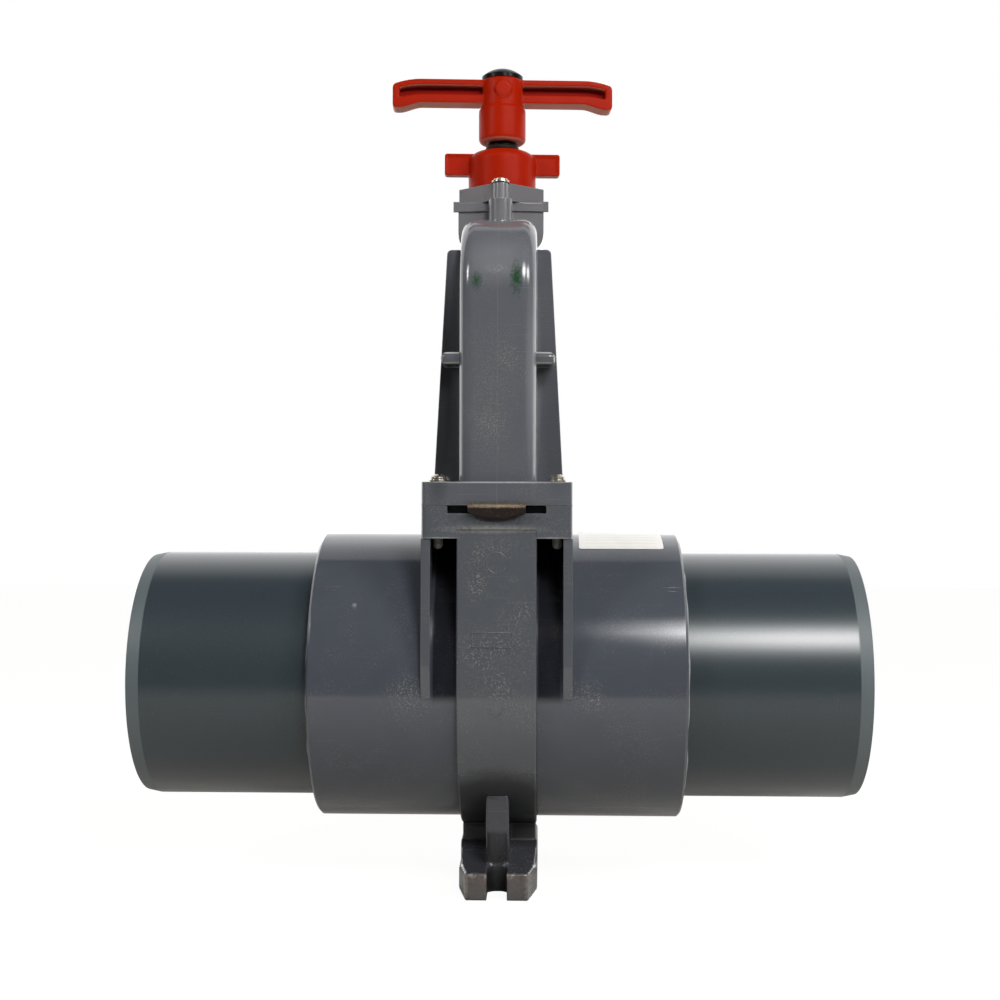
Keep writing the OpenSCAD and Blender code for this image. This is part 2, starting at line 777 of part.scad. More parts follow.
// Gate plate, with a lug on top that the stem holds.
module gate_plate() {
    color(gate_grey) at_axis() difference() {
        union() {
            along_pipe(gate_thickness) gate_outline(gate_radius, gate_top);
            translate([-lug_thickness / 2, -lug_half_width, gate_top - eps])
                cube([lug_thickness, 2 * lug_half_width, lug_top - gate_top + eps]);
        }
        translate([0, 0, pin_z]) rotate([0, 90, 0])
            cylinder(r = pin_radius, h = gate_thickness, center = true, $fn = 32);
    }
}

// Pin through the stem's fork and the gate's lug.
module gate_pin() {
    color(screw_steel) at_axis() translate([0, 0, pin_z]) rotate([0, 90, 0])
        cylinder(r = pin_radius, h = 2 * (stem_radius - 1), center = true, $fn = 32);
}

// Stem, forked over the gate's lug at its lower end.
module stem() {
    color(rubber_black) at_axis() difference() {
        translate([0, 0, gate_top]) cylinder(r = stem_radius, h = stem_top - gate_top, $fn = 64);
        translate([-lug_thickness / 2, -stem_radius - eps, gate_top - eps])
            cube([lug_thickness, 2 * (stem_radius + eps), stem_slot_top - gate_top + eps]);
        translate([0, 0, pin_z]) rotate([0, 90, 0])
            cylinder(r = pin_radius, h = 3 * stem_radius, center = true, $fn = 32);
    }
}

// Rubber stop ring under the handle.
module stem_bumper() {
    half = (bumper_top - bumper_bottom) / 2;
    color(rubber_black) at_axis() rotate_extrude() intersection() {
        translate([stem_radius, bumper_bottom]) square([bumper_radius, 2 * half]);
        union() {
            translate([stem_radius, bumper_bottom]) square([bumper_radius - half - stem_radius, 2 * half]);
            translate([bumper_radius - half, bumper_bottom + half]) circle(r = half, $fn = 32);
        }
    }
}

// Corner of an outline: where its round of a given radius starts, where it ends, and its centre.
function round_corner(before, corner, after, radius) =
    let (u = (before - corner) / norm(before - corner), v = (after - corner) / norm(after - corner),
         half = acos(u * v) / 2, reach = radius / tan(half))
    [corner + reach * u, corner + reach * v, corner + (u + v) / norm(u + v) * radius / sin(half)];

// Outline through points given as [x, y, radius], where a radius of 0 leaves the corner sharp.
module rounded_outline(points) {
    count = len(points);
    at = [for (p = points) [p[0], p[1]]];
    rounds = [for (i = [0 : count - 1]) points[i][2] == 0 ? [at[i]]
        : round_corner(at[(i + count - 1) % count], at[i], at[(i + 1) % count], points[i][2])];
    polygon([for (r = rounds) each (len(r) == 1 ? r : [r[0], r[1]])]);
    for (i = [0 : count - 1]) if (points[i][2] > 0)
        translate(rounds[i][2]) circle(r = points[i][2], $fn = 48);
}

// How far an arm hangs at a distance from the middle.
function arm_hang(x, droop) =
    x < arm_bend ? 0 : droop * pow((x - arm_bend) / (handle_span / 2 - arm_bend), 2);

// Points along an edge of an arm, from the bend outwards, at a height and with a droop.
function arm_edge(height, droop, tip) = [for (step = [0 : arm_steps])
    let (x = arm_bend + (tip - arm_bend) * step / (arm_steps + 1))
    [x, height - arm_hang(x, droop), 0]];

// The same points from the outside inwards.
function backwards(points) = [for (i = [len(points) - 1 : -1 : 0]) points[i]];

// Points along the underside of an arm, which falls in a soft bend to a flat toe.
function arm_underside(bottom, toe) = [for (step = [0 : arm_steps])
    let (t = step / arm_steps)
    [arm_bend + (toe - arm_bend) * t, bottom - arm_toe_drop * t * t * (3 - 2 * t), 0]];

// Outline of one arm, which hangs at its tip.
module arm_outline() {
    tip = handle_span / 2;
    top = arm_middle + arm_half;
    bottom = arm_middle - arm_half;
    rounded_outline(concat(
        [[0, bottom, 0], [0, top, 0]],
        arm_edge(top, arm_droop, tip),
        [[tip, top - arm_droop, 3], [tip, bottom - arm_toe_drop, arm_toe_round]],
        backwards(arm_underside(bottom, tip - arm_toe))
    ));
}

// Outline of the channel in an arm.
module arm_recess_outline() {
    tip = handle_span / 2 - arm_tip_rim;
    top = arm_middle + arm_half - arm_top_rim;
    bottom = top - arm_recess_height;
    hang = arm_hang(tip, arm_droop);
    rounded_outline(concat(
        [[arm_recess_start, bottom, 1], [arm_recess_start, top, 1]],
        arm_edge(top, arm_droop, tip),
        [[tip, top - hang, 1], [tip, bottom - hang, 1]],
        backwards(arm_edge(bottom, arm_droop, tip))
    ));
}

// One arm with a channel in its front and back.
module handle_arm() {
    difference() {
        across_pipe(arm_thickness) arm_outline();
        front_and_back() translate([0, -arm_thickness / 2, 0])
            across_pipe(2 * arm_recess_depth) arm_recess_outline();
    }
}

// T handle: a stepped hub with two channelled arms and a plain round boss on its front and back.
module t_handle() {
    color(handle_red) at_axis() rotate([0, 0, handle_turn]) difference() {
        union() {
            both_ends() handle_arm();
            translate([0, 0, hub_bottom]) rotate_extrude() polygon(concat(
                [[0, 0]],
                [for (angle = [-90 : 15 : 0])
                    [hub_radius - hub_foot_round + hub_foot_round * cos(angle),
                     hub_foot_round + hub_foot_round * sin(angle)]],
                [[hub_radius, hub_step - hub_bottom - 1], [hub_neck_radius, hub_step - hub_bottom],
                 [hub_neck_radius, hub_top - hub_bottom - 0.8],
                 [hub_neck_radius - 0.8, hub_top - hub_bottom], [0, hub_top - hub_bottom]]
            ));
            translate([0, 0, arm_middle]) rotate([90, 0, 0])
                cylinder(r = disc_radius, h = 2 * disc_reach, center = true, $fn = 64);
        }
        translate([0, 0, hub_bottom - eps])
            cylinder(r = stem_radius, h = stem_top - hub_bottom + eps, $fn = 64);
    }
}

// Domed cap that closes the top of the hub.
module handle_cap() {
    sphere_radius = (cap_radius * cap_radius + cap_rise * cap_rise) / (2 * cap_rise);
    color(rubber_black) at_axis() translate([0, 0, hub_top]) {
        cylinder(r = cap_radius, h = cap_side);
        intersection() {
            translate([0, 0, cap_side + cap_rise - sphere_radius]) sphere(r = sphere_radius);
            cylinder(r = cap_radius, h = cap_side + cap_rise + eps);
        }
    }
}

valve_body();
mounting_foot();
mirror([1, 0, 0]) socket();  // inlet_socket
socket();  // outlet_socket
mirror([1, 0, 0]) pipe_stub();  // inlet_pipe
pipe_stub();  // outlet_pipe
mirror([1, 0, 0]) seat_seal();  // inlet_seat_seal
seat_seal();  // outlet_seat_seal
flange_gasket();
bonnet();
gland_plate();
stem_collet();
gland_screw(-1);  // gland_screw_front
gland_screw(1);  // gland_screw_back
flange_screw(0);  // flange_screw_1
flange_screw(1);  // flange_screw_2
flange_screw(2);  // flange_screw_3
flange_screw(3);  // flange_screw_4
flange_screw(4);  // flange_screw_5
flange_screw(5);  // flange_screw_6
flange_screw(6);  // flange_screw_7
flange_screw(7);  // flange_screw_8
lock_nut();
gate_plate();
gate_pin();
stem();
stem_bumper();
t_handle();
handle_cap();
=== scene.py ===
import json
import math
import random

import bpy
from mathutils import Matrix, Vector


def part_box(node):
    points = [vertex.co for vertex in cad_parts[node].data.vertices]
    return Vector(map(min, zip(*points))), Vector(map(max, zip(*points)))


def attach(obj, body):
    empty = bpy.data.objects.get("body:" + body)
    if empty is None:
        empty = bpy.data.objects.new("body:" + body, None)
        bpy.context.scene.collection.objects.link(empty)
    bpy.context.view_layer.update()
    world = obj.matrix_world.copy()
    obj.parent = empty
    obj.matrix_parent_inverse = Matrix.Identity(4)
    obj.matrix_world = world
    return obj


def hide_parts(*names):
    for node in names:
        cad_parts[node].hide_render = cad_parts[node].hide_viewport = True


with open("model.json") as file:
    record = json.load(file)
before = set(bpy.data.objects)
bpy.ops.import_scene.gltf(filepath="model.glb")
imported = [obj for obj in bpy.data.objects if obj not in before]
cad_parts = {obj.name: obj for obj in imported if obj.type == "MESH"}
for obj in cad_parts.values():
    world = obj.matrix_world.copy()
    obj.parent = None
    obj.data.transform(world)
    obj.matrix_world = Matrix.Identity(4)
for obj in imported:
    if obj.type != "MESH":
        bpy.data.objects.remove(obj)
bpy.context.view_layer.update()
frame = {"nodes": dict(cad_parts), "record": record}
nodes = frame["nodes"]
millimetre = 0.001
axisHeight = (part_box("outlet_pipe")[0].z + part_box("outlet_pipe")[1].z) / 2
print("frame loaded:", len(nodes), "nodes, pipe axis at", round(axisHeight, 4), "m")


def linearColour(hexText):
    # sRGB hex to the linear colour that a shader socket takes
    parts = [int(hexText[i:i + 2], 16) / 255 for i in (1, 3, 5)]
    return [c / 12.92 if c <= 0.04045 else ((c + 0.055) / 1.055) ** 2.4 for c in parts] + [1.0]


def addNode(tree, kind, settings=None, links=None):
    # adds a node; settings go to its own properties or to its sockets, by name or number, and
    # a link comes from another node's first output or from the output that is given
    node = tree.nodes.new("ShaderNode" + kind)
    for key, value in (settings or {}).items():
        if isinstance(key, str) and hasattr(node, key):
            setattr(node, key, value)
        else:
            node.inputs[key].default_value = value
    for key, source in (links or {}).items():
        if isinstance(source, bpy.types.Node):
            source = source.outputs[0]
        tree.links.new(source, node.inputs[key])
    return node


def startMaterial(name):
    material = bpy.data.materials.new(name)
    material.use_nodes = True
    tree = material.node_tree
    tree.nodes.clear()
    return material, tree


def thresholdNoise(tree, place, sizeMm, span, amount, detail=2.0, stretch=None):
    # soft-edged blotches or specks of a real size, which start and are full where the noise
    # has the span's two values; stretch squeezes the pattern along an axis
    source = place
    if stretch:
        source = addNode(tree, "Mapping", {"Scale": stretch}, {"Vector": place})
    noise = addNode(tree, "TexNoise", {"Scale": 1000 / sizeMm, "Detail": detail}, {"Vector": source})
    return addNode(tree, "MapRange", {"From Min": span[0], "From Max": span[1], "To Max": amount},
                   {"Value": noise})


def mark(centre, reach, colour, amount, base=axisHeight, grain=2.0, ragged=1.6, solid=0.3, speck=None,
         shiny=False):
    # a stain, patch of dust, or patch of painted shade or painted light. Its height is measured
    # from the base, the pipe's axis, and reach is its half size, both in metres; grain and speck
    # are in millimetres; it is solid to that share of its reach, and a shiny one leaves the gloss as it is
    return {"centre": (centre[0], centre[1], base + centre[2]), "reach": reach, "colour": colour,
            "amount": amount, "grain": grain, "ragged": ragged, "solid": solid, "speck": speck,
            "shiny": shiny}


def line(axis, at, half, colour, amount, soft=0.5, above=None, shiny=True):
    # a straight line across an axis: its place in metres, half its width in millimetres, the
    # share of that width which fades out, and the height that it starts from
    return {"axis": axis, "at": at, "half": half * millimetre, "colour": colour, "amount": amount,
            "soft": soft, "above": above, "shiny": shiny}


noiseLow, noiseHigh = 0.3, 0.7   # most values of a noise lie between these
markEnd = 1.2                # a mark has faded out at this share of its reach
markSpeckSpan = (0.50, 0.62)
lineStart = 2 * millimetre   # a line that starts at a height fades in over twice this


def spotMask(tree, place, spot):
    away = addNode(tree, "VectorMath", {"operation": "SUBTRACT", 1: spot["centre"]}, {0: place})
    scaled = addNode(tree, "VectorMath", {"operation": "DIVIDE", 1: spot["reach"]}, {0: away})
    distance = addNode(tree, "VectorMath", {"operation": "LENGTH"}, {0: scaled})
    noise = addNode(tree, "TexNoise", {"Scale": 1000 / spot["grain"], "Detail": 3.0}, {"Vector": place})
    uneven = addNode(tree, "Math", {"operation": "MULTIPLY_ADD", 1: spot["ragged"]},
                     {0: noise, 2: distance.outputs["Value"]})
    middle = 0.5 * spot["ragged"]   # what the noise adds on average
    mask = addNode(tree, "MapRange",
                   {"From Min": middle + spot["solid"], "From Max": middle + markEnd,
                    "To Min": spot["amount"], "To Max": 0.0}, {"Value": uneven})
    if not spot["speck"]:
        return mask
    specks = thresholdNoise(tree, place, spot["speck"], markSpeckSpan, 1.0)
    return addNode(tree, "Math", {"operation": "MULTIPLY"}, {0: mask, 1: specks})


def lineMask(tree, place, stripe):
    split = addNode(tree, "SeparateXYZ", {}, {0: place})
    away = addNode(tree, "Math", {"operation": "SUBTRACT", 1: stripe["at"]},
                   {0: split.outputs[stripe["axis"]]})
    distance = addNode(tree, "Math", {"operation": "ABSOLUTE"}, {0: away})
    mask = addNode(tree, "MapRange",
                   {"From Min": stripe["half"] * (1 - stripe["soft"]), "From Max": stripe["half"],
                    "To Min": stripe["amount"], "To Max": 0.0}, {"Value": distance})
    if stripe["above"] is None:
        return mask
    high = addNode(tree, "MapRange", {"From Min": stripe["above"] - lineStart,
                   "From Max": stripe["above"] + lineStart}, {"Value": split.outputs["Z"]})
    return addNode(tree, "Math", {"operation": "MULTIPLY"}, {0: mask, 1: high})


def layMarks(tree, place, marks, base, dulled):
    # lays marks or lines over the base colour, and adds all but the shiny ones to the mask that dulls the
    # gloss
    for item in marks:
        mask = lineMask(tree, place, item) if "axis" in item else spotMask(tree, place, item)
        base = addNode(tree, "Mix", {"data_type": "RGBA", 7: linearColour(item["colour"])},
                       {0: mask, 6: base}).outputs[2]
        if not item["shiny"]:
            dulled = addNode(tree, "Math", {"operation": "MAXIMUM"}, {0: dulled, 1: mask})
    return base, dulled


def roundEdges(tree, look):
    # a normal that turns smoothly over the edges, the flat one, and a mask of the edges, for their wear and,
    # on some pieces, a painted highlight; it is full where the two are 33 degrees apart and gone at 8 degrees
    rounded = addNode(tree, "Bevel", {"samples": 6, "Radius": look["edgeRadius"] * millimetre})
    flat = addNode(tree, "NewGeometry")
    match = addNode(tree, "VectorMath", {"operation": "DOT_PRODUCT"},
                    {0: rounded, 1: flat.outputs["Normal"]})
    edge = addNode(tree, "MapRange",
                   {"From Min": 0.84, "From Max": 0.99, "To Min": look["edgeWearAndHighlight"], "To Max": 0.0},
                   {"Value": match.outputs["Value"]})
    return rounded, flat.outputs["Normal"], edge


# Unplasticised PVC, injection moulded in a polished tool and then handled for years.
# It gives a mid grey with a clear, slightly dulled gloss, faint flow clouds, fine pale dust
# that gathers in patches, hairline scratches and paler worn edges.
mouldedPvc = {
    "colour": "#595b60",
    "cloudColour": "#505359",
    "cloudSize": 45.0,        # mm
    "dustColour": "#8d8980",
    "dustAmount": 0.30,
    "speckSize": 0.8,         # mm, about twice as coarse as the real dust, so that it shows
    "speckSpan": (0.54, 0.70),
    "patchSize": 24.0,        # mm
    "patchSpan": (0.44, 0.66),
    "scratchColour": "#7d7f83",
    "scratchAmount": 0.16,
    "scratchLength": 30.0,    # mm, and 1 mm wide, ten times a real one's width, so that they show
    "scratchSpan": (0.655, 0.70),
    "scratchStretch": (1.0, 1.0, 26.0),
    "edgeColour": "#8b8c8f",
    "edgeRadius": 0.9,        # mm
    "edgeWearAndHighlight": 0.45,
    "chipSize": 6.0,          # mm, the gaps in the worn edges
    "waveSize": 14.0,         # mm, the slow waves of a moulded wall
    "waveHeight": 0.4,        # mm, of which the strength is the share that shows
    "waveStrength": 0.10,
    "grainSize": 0.8,         # mm
    "grainHeight": 0.1,       # mm
    "grainStrength": 0.07,
    "dustHeight": 0.8,        # share of the grain's height
    "roughness": 0.15,
    "cloudRoughness": (-0.04, 0.06),
    "dustRoughness": 0.3,     # what dust adds, and marks that are not shiny
    "markRoughness": 0.35,
    "ior": 1.53,
    "marks": [],
    "lines": [],              # parting lines and seams, and bands of painted shade and painted highlight
}


def makeMouldedPvc(name, options):
    look = dict(mouldedPvc, **options)
    material, tree = startMaterial(name)
    place = addNode(tree, "TexCoord").outputs["Object"]
    clouds = addNode(tree, "TexNoise", {"Scale": 1000 / look["cloudSize"], "Detail": 5.0},
                     {"Vector": place})
    base = addNode(tree, "Mix", {"data_type": "RGBA", 6: linearColour(look["colour"]),
                   7: linearColour(look["cloudColour"])}, {0: clouds}).outputs[2]

    specks = thresholdNoise(tree, place, look["speckSize"], look["speckSpan"], 1.0)
    patches = thresholdNoise(tree, place, look["patchSize"], look["patchSpan"], look["dustAmount"], 4.0)
    dust = addNode(tree, "Math", {"operation": "MULTIPLY"}, {0: specks, 1: patches})
    scratches = thresholdNoise(tree, place, look["scratchLength"], look["scratchSpan"], look["scratchAmount"],
                               stretch=look["scratchStretch"])
    for mask, colour in ((dust, look["dustColour"]), (scratches, look["scratchColour"])):
        base = addNode(tree, "Mix", {"data_type": "RGBA", 7: linearColour(colour)},
                       {0: mask, 6: base}).outputs[2]
    base, roughening = layMarks(tree, place, look["marks"], base, scratches)

    rounded, flat, edge = roundEdges(tree, look)
    chips = addNode(tree, "TexNoise", {"Scale": 1000 / look["chipSize"], "Detail": 4.0}, {"Vector": place})
    chipped = addNode(tree, "Math", {"operation": "MULTIPLY"}, {0: edge, 1: chips})
    base = addNode(tree, "Mix", {"data_type": "RGBA", 7: linearColour(look["edgeColour"])},
                   {0: chipped, 6: base}).outputs[2]
    base, roughening = layMarks(tree, place, look["lines"], base, roughening)

    cloudLow, cloudHigh = look["cloudRoughness"]
    roughClouds = addNode(tree, "MapRange",
                          {"From Min": noiseLow, "From Max": noiseHigh,
                           "To Min": look["roughness"] + cloudLow, "To Max": look["roughness"] + cloudHigh},
                          {"Value": clouds})
    roughDust = addNode(tree, "Math", {"operation": "MULTIPLY_ADD", 1: look["dustRoughness"]},
                        {0: dust, 2: roughClouds})
    roughness = addNode(tree, "Math", {"operation": "MULTIPLY_ADD", 1: look["markRoughness"]},
                        {0: roughening, 2: roughDust})

    waves = addNode(tree, "TexNoise", {"Scale": 1000 / look["waveSize"], "Detail": 1.0}, {"Vector": place})
    wavy = addNode(tree, "Bump",
                   {"Strength": look["waveStrength"], "Distance": look["waveHeight"] * millimetre},
                   {"Height": waves, "Normal": rounded})
    grain = addNode(tree, "TexNoise", {"Scale": 1000 / look["grainSize"], "Detail": 2.0}, {"Vector": place})
    height = addNode(tree, "Math", {"operation": "MULTIPLY_ADD", 1: look["dustHeight"]},
                     {0: dust, 2: grain})
    bump = addNode(tree, "Bump",
                   {"Strength": look["grainStrength"], "Distance": look["grainHeight"] * millimetre},
                   {"Height": height, "Normal": wavy})
    surface = addNode(tree, "BsdfPrincipled", {"IOR": look["ior"]},
                      {"Base Color": base, "Roughness": roughness, "Normal": bump})
    addNode(tree, "OutputMaterial", {}, {"Surface": surface})
    return material


# Other finishes. Each is a base colour with a slow tone change, specks of dust or wear, a
# rounded look to its edges and a fine grain.
plainFinish = {
    "toneSize": 20.0,         # mm
    "toneStretch": (1.0, 1.0, 1.0),
    "speckColour": "#8c8880",
    "speckSize": 1.0,         # mm
    "speckSpan": (0.6, 0.72),
    "speckAmount": 0.25,
    "edgeColour": None,
    "edgeWearAndHighlight": 0.4,
    "edgeRadius": 0.8,        # mm
    "roughness": 0.3,
    "roughSpread": 0.06,
    "dullRoughness": 0.3,     # what specks and marks add
    "metallic": 0.0,
    "ior": 1.5,
    "specular": 0.5,
    "grainSize": 0.7,         # mm
    "grainHeight": 0.1,       # mm
    "grainStrength": 0.08,
    "grainStretch": (1.0, 1.0, 1.0),
    "turn": 0.0,              # degrees that the piece is turned about Z; marks turn with it
    "marks": [],
    "lines": [],
    "underLightColour": None,      # painted light from the floor, on faces that look down
    "underLightAmount": 0.6,
}


def makePlain(name, options):
    look = dict(plainFinish, **options)
    material, tree = startMaterial(name)
    place = addNode(tree, "TexCoord").outputs["Object"]
    if look["turn"]:
        place = addNode(tree, "Mapping", {"Rotation": (0, 0, -math.radians(look["turn"]))},
                        {"Vector": place})
    drawn = addNode(tree, "Mapping", {"Scale": look["toneStretch"]}, {"Vector": place})
    tone = addNode(tree, "TexNoise", {"Scale": 1000 / look["toneSize"], "Detail": 5.0}, {"Vector": drawn})
    base = addNode(tree, "Mix", {"data_type": "RGBA", 6: linearColour(look["colour"]),
                   7: linearColour(look["toneColour"])}, {0: tone}).outputs[2]
    specks = thresholdNoise(tree, place, look["speckSize"], look["speckSpan"], look["speckAmount"])
    rounded, flat, edge = roundEdges(tree, look)
    # painted light from below: full on faces that look down, and gone on those that look 24 degrees below
    # level
    facing = addNode(tree, "SeparateXYZ", {}, {0: flat})
    under = addNode(tree, "MapRange",
                    {"From Min": -0.9, "From Max": -0.4, "To Min": look["underLightAmount"], "To Max": 0.0},
                    {"Value": facing.outputs["Z"]})
    for mask, colour in ((specks, look["speckColour"]), (edge, look["edgeColour"]),
                         (under, look["underLightColour"])):
        if colour:
            base = addNode(tree, "Mix", {"data_type": "RGBA", 7: linearColour(colour)},
                           {0: mask, 6: base}).outputs[2]
    base, dulled = layMarks(tree, place, look["marks"] + look["lines"], base, specks)

    metal = addNode(tree, "MapRange", {"To Min": look["metallic"], "To Max": 0.0}, {"Value": dulled})
    roughTone = addNode(tree, "MapRange",
                        {"From Min": noiseLow, "From Max": noiseHigh,
                         "To Min": look["roughness"] - look["roughSpread"],
                         "To Max": look["roughness"] + look["roughSpread"]}, {"Value": tone})
    roughness = addNode(tree, "Math", {"operation": "MULTIPLY_ADD", 1: look["dullRoughness"]},
                        {0: dulled, 2: roughTone})
    grained = addNode(tree, "Mapping", {"Scale": look["grainStretch"]}, {"Vector": place})
    grain = addNode(tree, "TexNoise", {"Scale": 1000 / look["grainSize"], "Detail": 2.0},
                    {"Vector": grained})
    bump = addNode(tree, "Bump",
                   {"Strength": look["grainStrength"], "Distance": look["grainHeight"] * millimetre},
                   {"Height": grain, "Normal": rounded})
    surface = addNode(tree, "BsdfPrincipled", {"IOR": look["ior"], "Specular IOR Level": look["specular"]},
                      {"Metallic": metal, "Base Color": base, "Roughness": roughness,
                       "Normal": bump})
    addNode(tree, "OutputMaterial", {}, {"Surface": surface})
    return material


# Blank write-on label, wrapped over the top of the outlet socket: off-white coated paper,
# slightly yellowed, with faint grey rules.
label = {
    "left": 0.0512,
    "right": 0.1052,
    "socketRadius": 0.09325,
    "proud": 0.00015,         # glue under the paper
    "front": 26.3,            # degrees ahead of the top
    "back": 25.6,
    "sides": 190,             # flat strips round the whole socket
    "corner": 0.0016,
    "thickness": 0.00018,
    "colour": "#f3f1ed",
    "stainColour": "#e8e4dc",
    "stainSize": 14.0,        # mm
    "ruleColour": "#a9a7a3",
    "ruleStep": 0.006,        # between the rules, round the socket
    "ruleWidth": 0.035,       # share of the step
    "ruleInset": 0.004,       # from the label's sides
    "fibreSize": 0.5,         # mm
    "fibreHeight": 0.1,       # mm
    "fibreStrength": 0.05,
    "roughness": 0.38,
    "ior": 1.45,
}
labelRadius = label["socketRadius"] + label["proud"]


def makeLabelPaper(name, look):
    material, tree = startMaterial(name)
    place = addNode(tree, "TexCoord").outputs["Object"]
    stains = addNode(tree, "TexNoise", {"Scale": 1000 / look["stainSize"], "Detail": 4.0},
                     {"Vector": place})
    base = addNode(tree, "Mix", {"data_type": "RGBA", 6: linearColour(look["colour"]),
                   7: linearColour(look["stainColour"])}, {0: stains}).outputs[2]
    # the rules follow the angle round the pipe's axis
    split = addNode(tree, "SeparateXYZ", {}, {0: place})
    lifted = addNode(tree, "Math", {"operation": "SUBTRACT", 1: axisHeight}, {0: split.outputs["Z"]})
    angle = addNode(tree, "Math", {"operation": "ARCTAN2"}, {0: split.outputs["Y"], 1: lifted})
    steps = addNode(tree, "Math", {"operation": "MULTIPLY", 1: labelRadius / look["ruleStep"]}, {0: angle})
    part = addNode(tree, "Math", {"operation": "FRACT"}, {0: steps})
    shown = addNode(tree, "Math", {"operation": "LESS_THAN", 1: look["ruleWidth"]}, {0: part})
    for operation, limit in (("GREATER_THAN", look["left"] + look["ruleInset"]),
                             ("LESS_THAN", look["right"] - look["ruleInset"])):
        within = addNode(tree, "Math", {"operation": operation, 1: limit}, {0: split.outputs["X"]})
        shown = addNode(tree, "Math", {"operation": "MULTIPLY"}, {0: shown, 1: within})
    base = addNode(tree, "Mix", {"data_type": "RGBA", 7: linearColour(look["ruleColour"])},
                   {0: shown, 6: base}).outputs[2]
    fibres = addNode(tree, "TexNoise", {"Scale": 1000 / look["fibreSize"], "Detail": 2.0},
                     {"Vector": place})
    bump = addNode(tree, "Bump",
                   {"Strength": look["fibreStrength"], "Distance": look["fibreHeight"] * millimetre},
                   {"Height": fibres})
    surface = addNode(tree, "BsdfPrincipled", {"IOR": look["ior"], "Roughness": look["roughness"]},
                      {"Base Color": base, "Normal": bump})
    addNode(tree, "OutputMaterial", {}, {"Surface": surface})
    return material


stripFace = -0.098                # the flat front of the housing
flangeFace = stripFace - 0.0006   # and of its flanges
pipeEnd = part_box("outlet_pipe")[1].x
seamHeight = axisHeight + 0.1095  # where the upper flange meets the lower one
sides = (-1, 1)

# painted light: pale patches that leave the gloss as it is
fade = {"grain": 9.0, "ragged": 0.2, "shiny": True}
# painted shade: dark patches that leave the gloss as it is
paintedRibShade = {"grain": 9.0, "ragged": 0.1, "solid": 0.6, "shiny": True}
algae = {"grain": 1.5, "ragged": 1.8, "shiny": True}
fineDust = {"grain": 3.0, "speck": 0.8}
paleEdgeLine = {"grain": 3.0, "ragged": 0.8}
bonnetMarks = [
    # paler over the neck; the crown's patch is painted light, and the pale stripes down the rounded edges are
    # painted highlights, stronger on the right
    mark((0.0, 0.0, 0.297), (0.09, 0.09, 0.030), "#767578", 0.85, grain=9.0, ragged=0.3, shiny=True),
    mark((0.0, -0.085, 0.262), (0.026, 0.05, 0.017), "#76777b", 0.6, **fade),
    mark((-0.0222, -0.09, 0.190), (0.0048, 0.05, 0.066), "#838488", 0.15, **fade),
    mark((0.0222, -0.09, 0.190), (0.0048, 0.05, 0.066), "#838488", 0.6, **fade),
    # painted shade on the lower parts of the ribs, darkest on the left, which the bonnet hides from the right
    # lamp
    mark((-0.036, -0.03, 0.180), (0.010, 0.09, 0.100), "#1a1a1c", 0.8, **paintedRibShade),
    mark((0.036, -0.03, 0.155), (0.010, 0.09, 0.055), "#1d1e22", 0.25, **paintedRibShade),
    # green algae where water stood below the shoulder
    mark((-0.0129, -0.092, 0.2474), (0.0034, 0.01, 0.0058), "#12401c", 0.75, solid=0.2, **algae),
    mark((0.0115, -0.092, 0.2492), (0.0038, 0.01, 0.0092), "#0f3d19", 0.85, solid=0.3, **algae),
    # pale smear of dried water between them
    mark((-0.001, -0.092, 0.2545), (0.010, 0.01, 0.0036), "#9a9a9a", 0.5, grain=0.9, speck=0.9),
    # fine dust, heavier in some places
    mark((-0.0045, -0.092, 0.160), (0.010, 0.01, 0.013), "#8b867c", 0.40, **fineDust),
    mark((0.0065, -0.092, 0.201), (0.008, 0.01, 0.010), "#86827c", 0.30, **fineDust),
    mark((-0.003, -0.092, 0.178), (0.018, 0.01, 0.050), "#85807a", 0.25, grain=3.0, speck=0.9),
    # brown dirt over the gasket's slot
    mark((0.001, flangeFace, 0.1105), (0.030, 0.004, 0.0020), "#4a4034", 0.6, grain=1.6),
    # painted highlight along the flange's upper edge
    mark((0.0, flangeFace, 0.1236), (0.046, 0.004, 0.0007), "#b5b6b8", 0.55, **paleEdgeLine),
]
bodyMarks = [
    # painted shadow of the gasket's tab, under its slot
    mark((0.001, flangeFace, 0.101), (0.026, 0.004, 0.0036), "#2d2a2a", 0.55, grain=1.6),
    # pale band where the strip meets the flange: dust, with a painted highlight on the rounded joint
    mark((-0.002, stripFace, 0.0950), (0.034, 0.006, 0.0026), "#7d7c78", 0.6, grain=2.6, ragged=1.0),
    # dust that lies heavier on some parts of the strip
    mark((-0.012, stripFace, 0.060), (0.008, 0.006, 0.010), "#88847b", 0.40, **fineDust),
    mark((0.012, stripFace, 0.044), (0.012, 0.006, 0.012), "#6f6e6a", 0.35, grain=4.0, speck=1.6),
    mark((0.002, stripFace, 0.084), (0.020, 0.006, 0.007), "#7b7973", 0.35, grain=2.1, speck=0.8),
    mark((0.0, stripFace, 0.010), (0.026, 0.010, 0.040), "#74736e", 0.30, grain=5.0, speck=0.8),
    # rubbed pale line along the lower edge of the flange, beside the pockets
    mark((0.034, flangeFace, 0.0898), (0.012, 0.004, 0.0007), "#9b9c9e", 0.5, **paleEdgeLine),
    mark((-0.034, flangeFace, 0.0898), (0.012, 0.004, 0.0007), "#9b9c9e", 0.5, **paleEdgeLine),
    # painted shade at the bottom of the housing, over the foot, where its face turns under
    mark((0.0, -0.070, -0.0830), (0.0400, 0.10, 0.0285), "#15171b", 0.85, grain=6.0, ragged=0.15, solid=0.8),
]
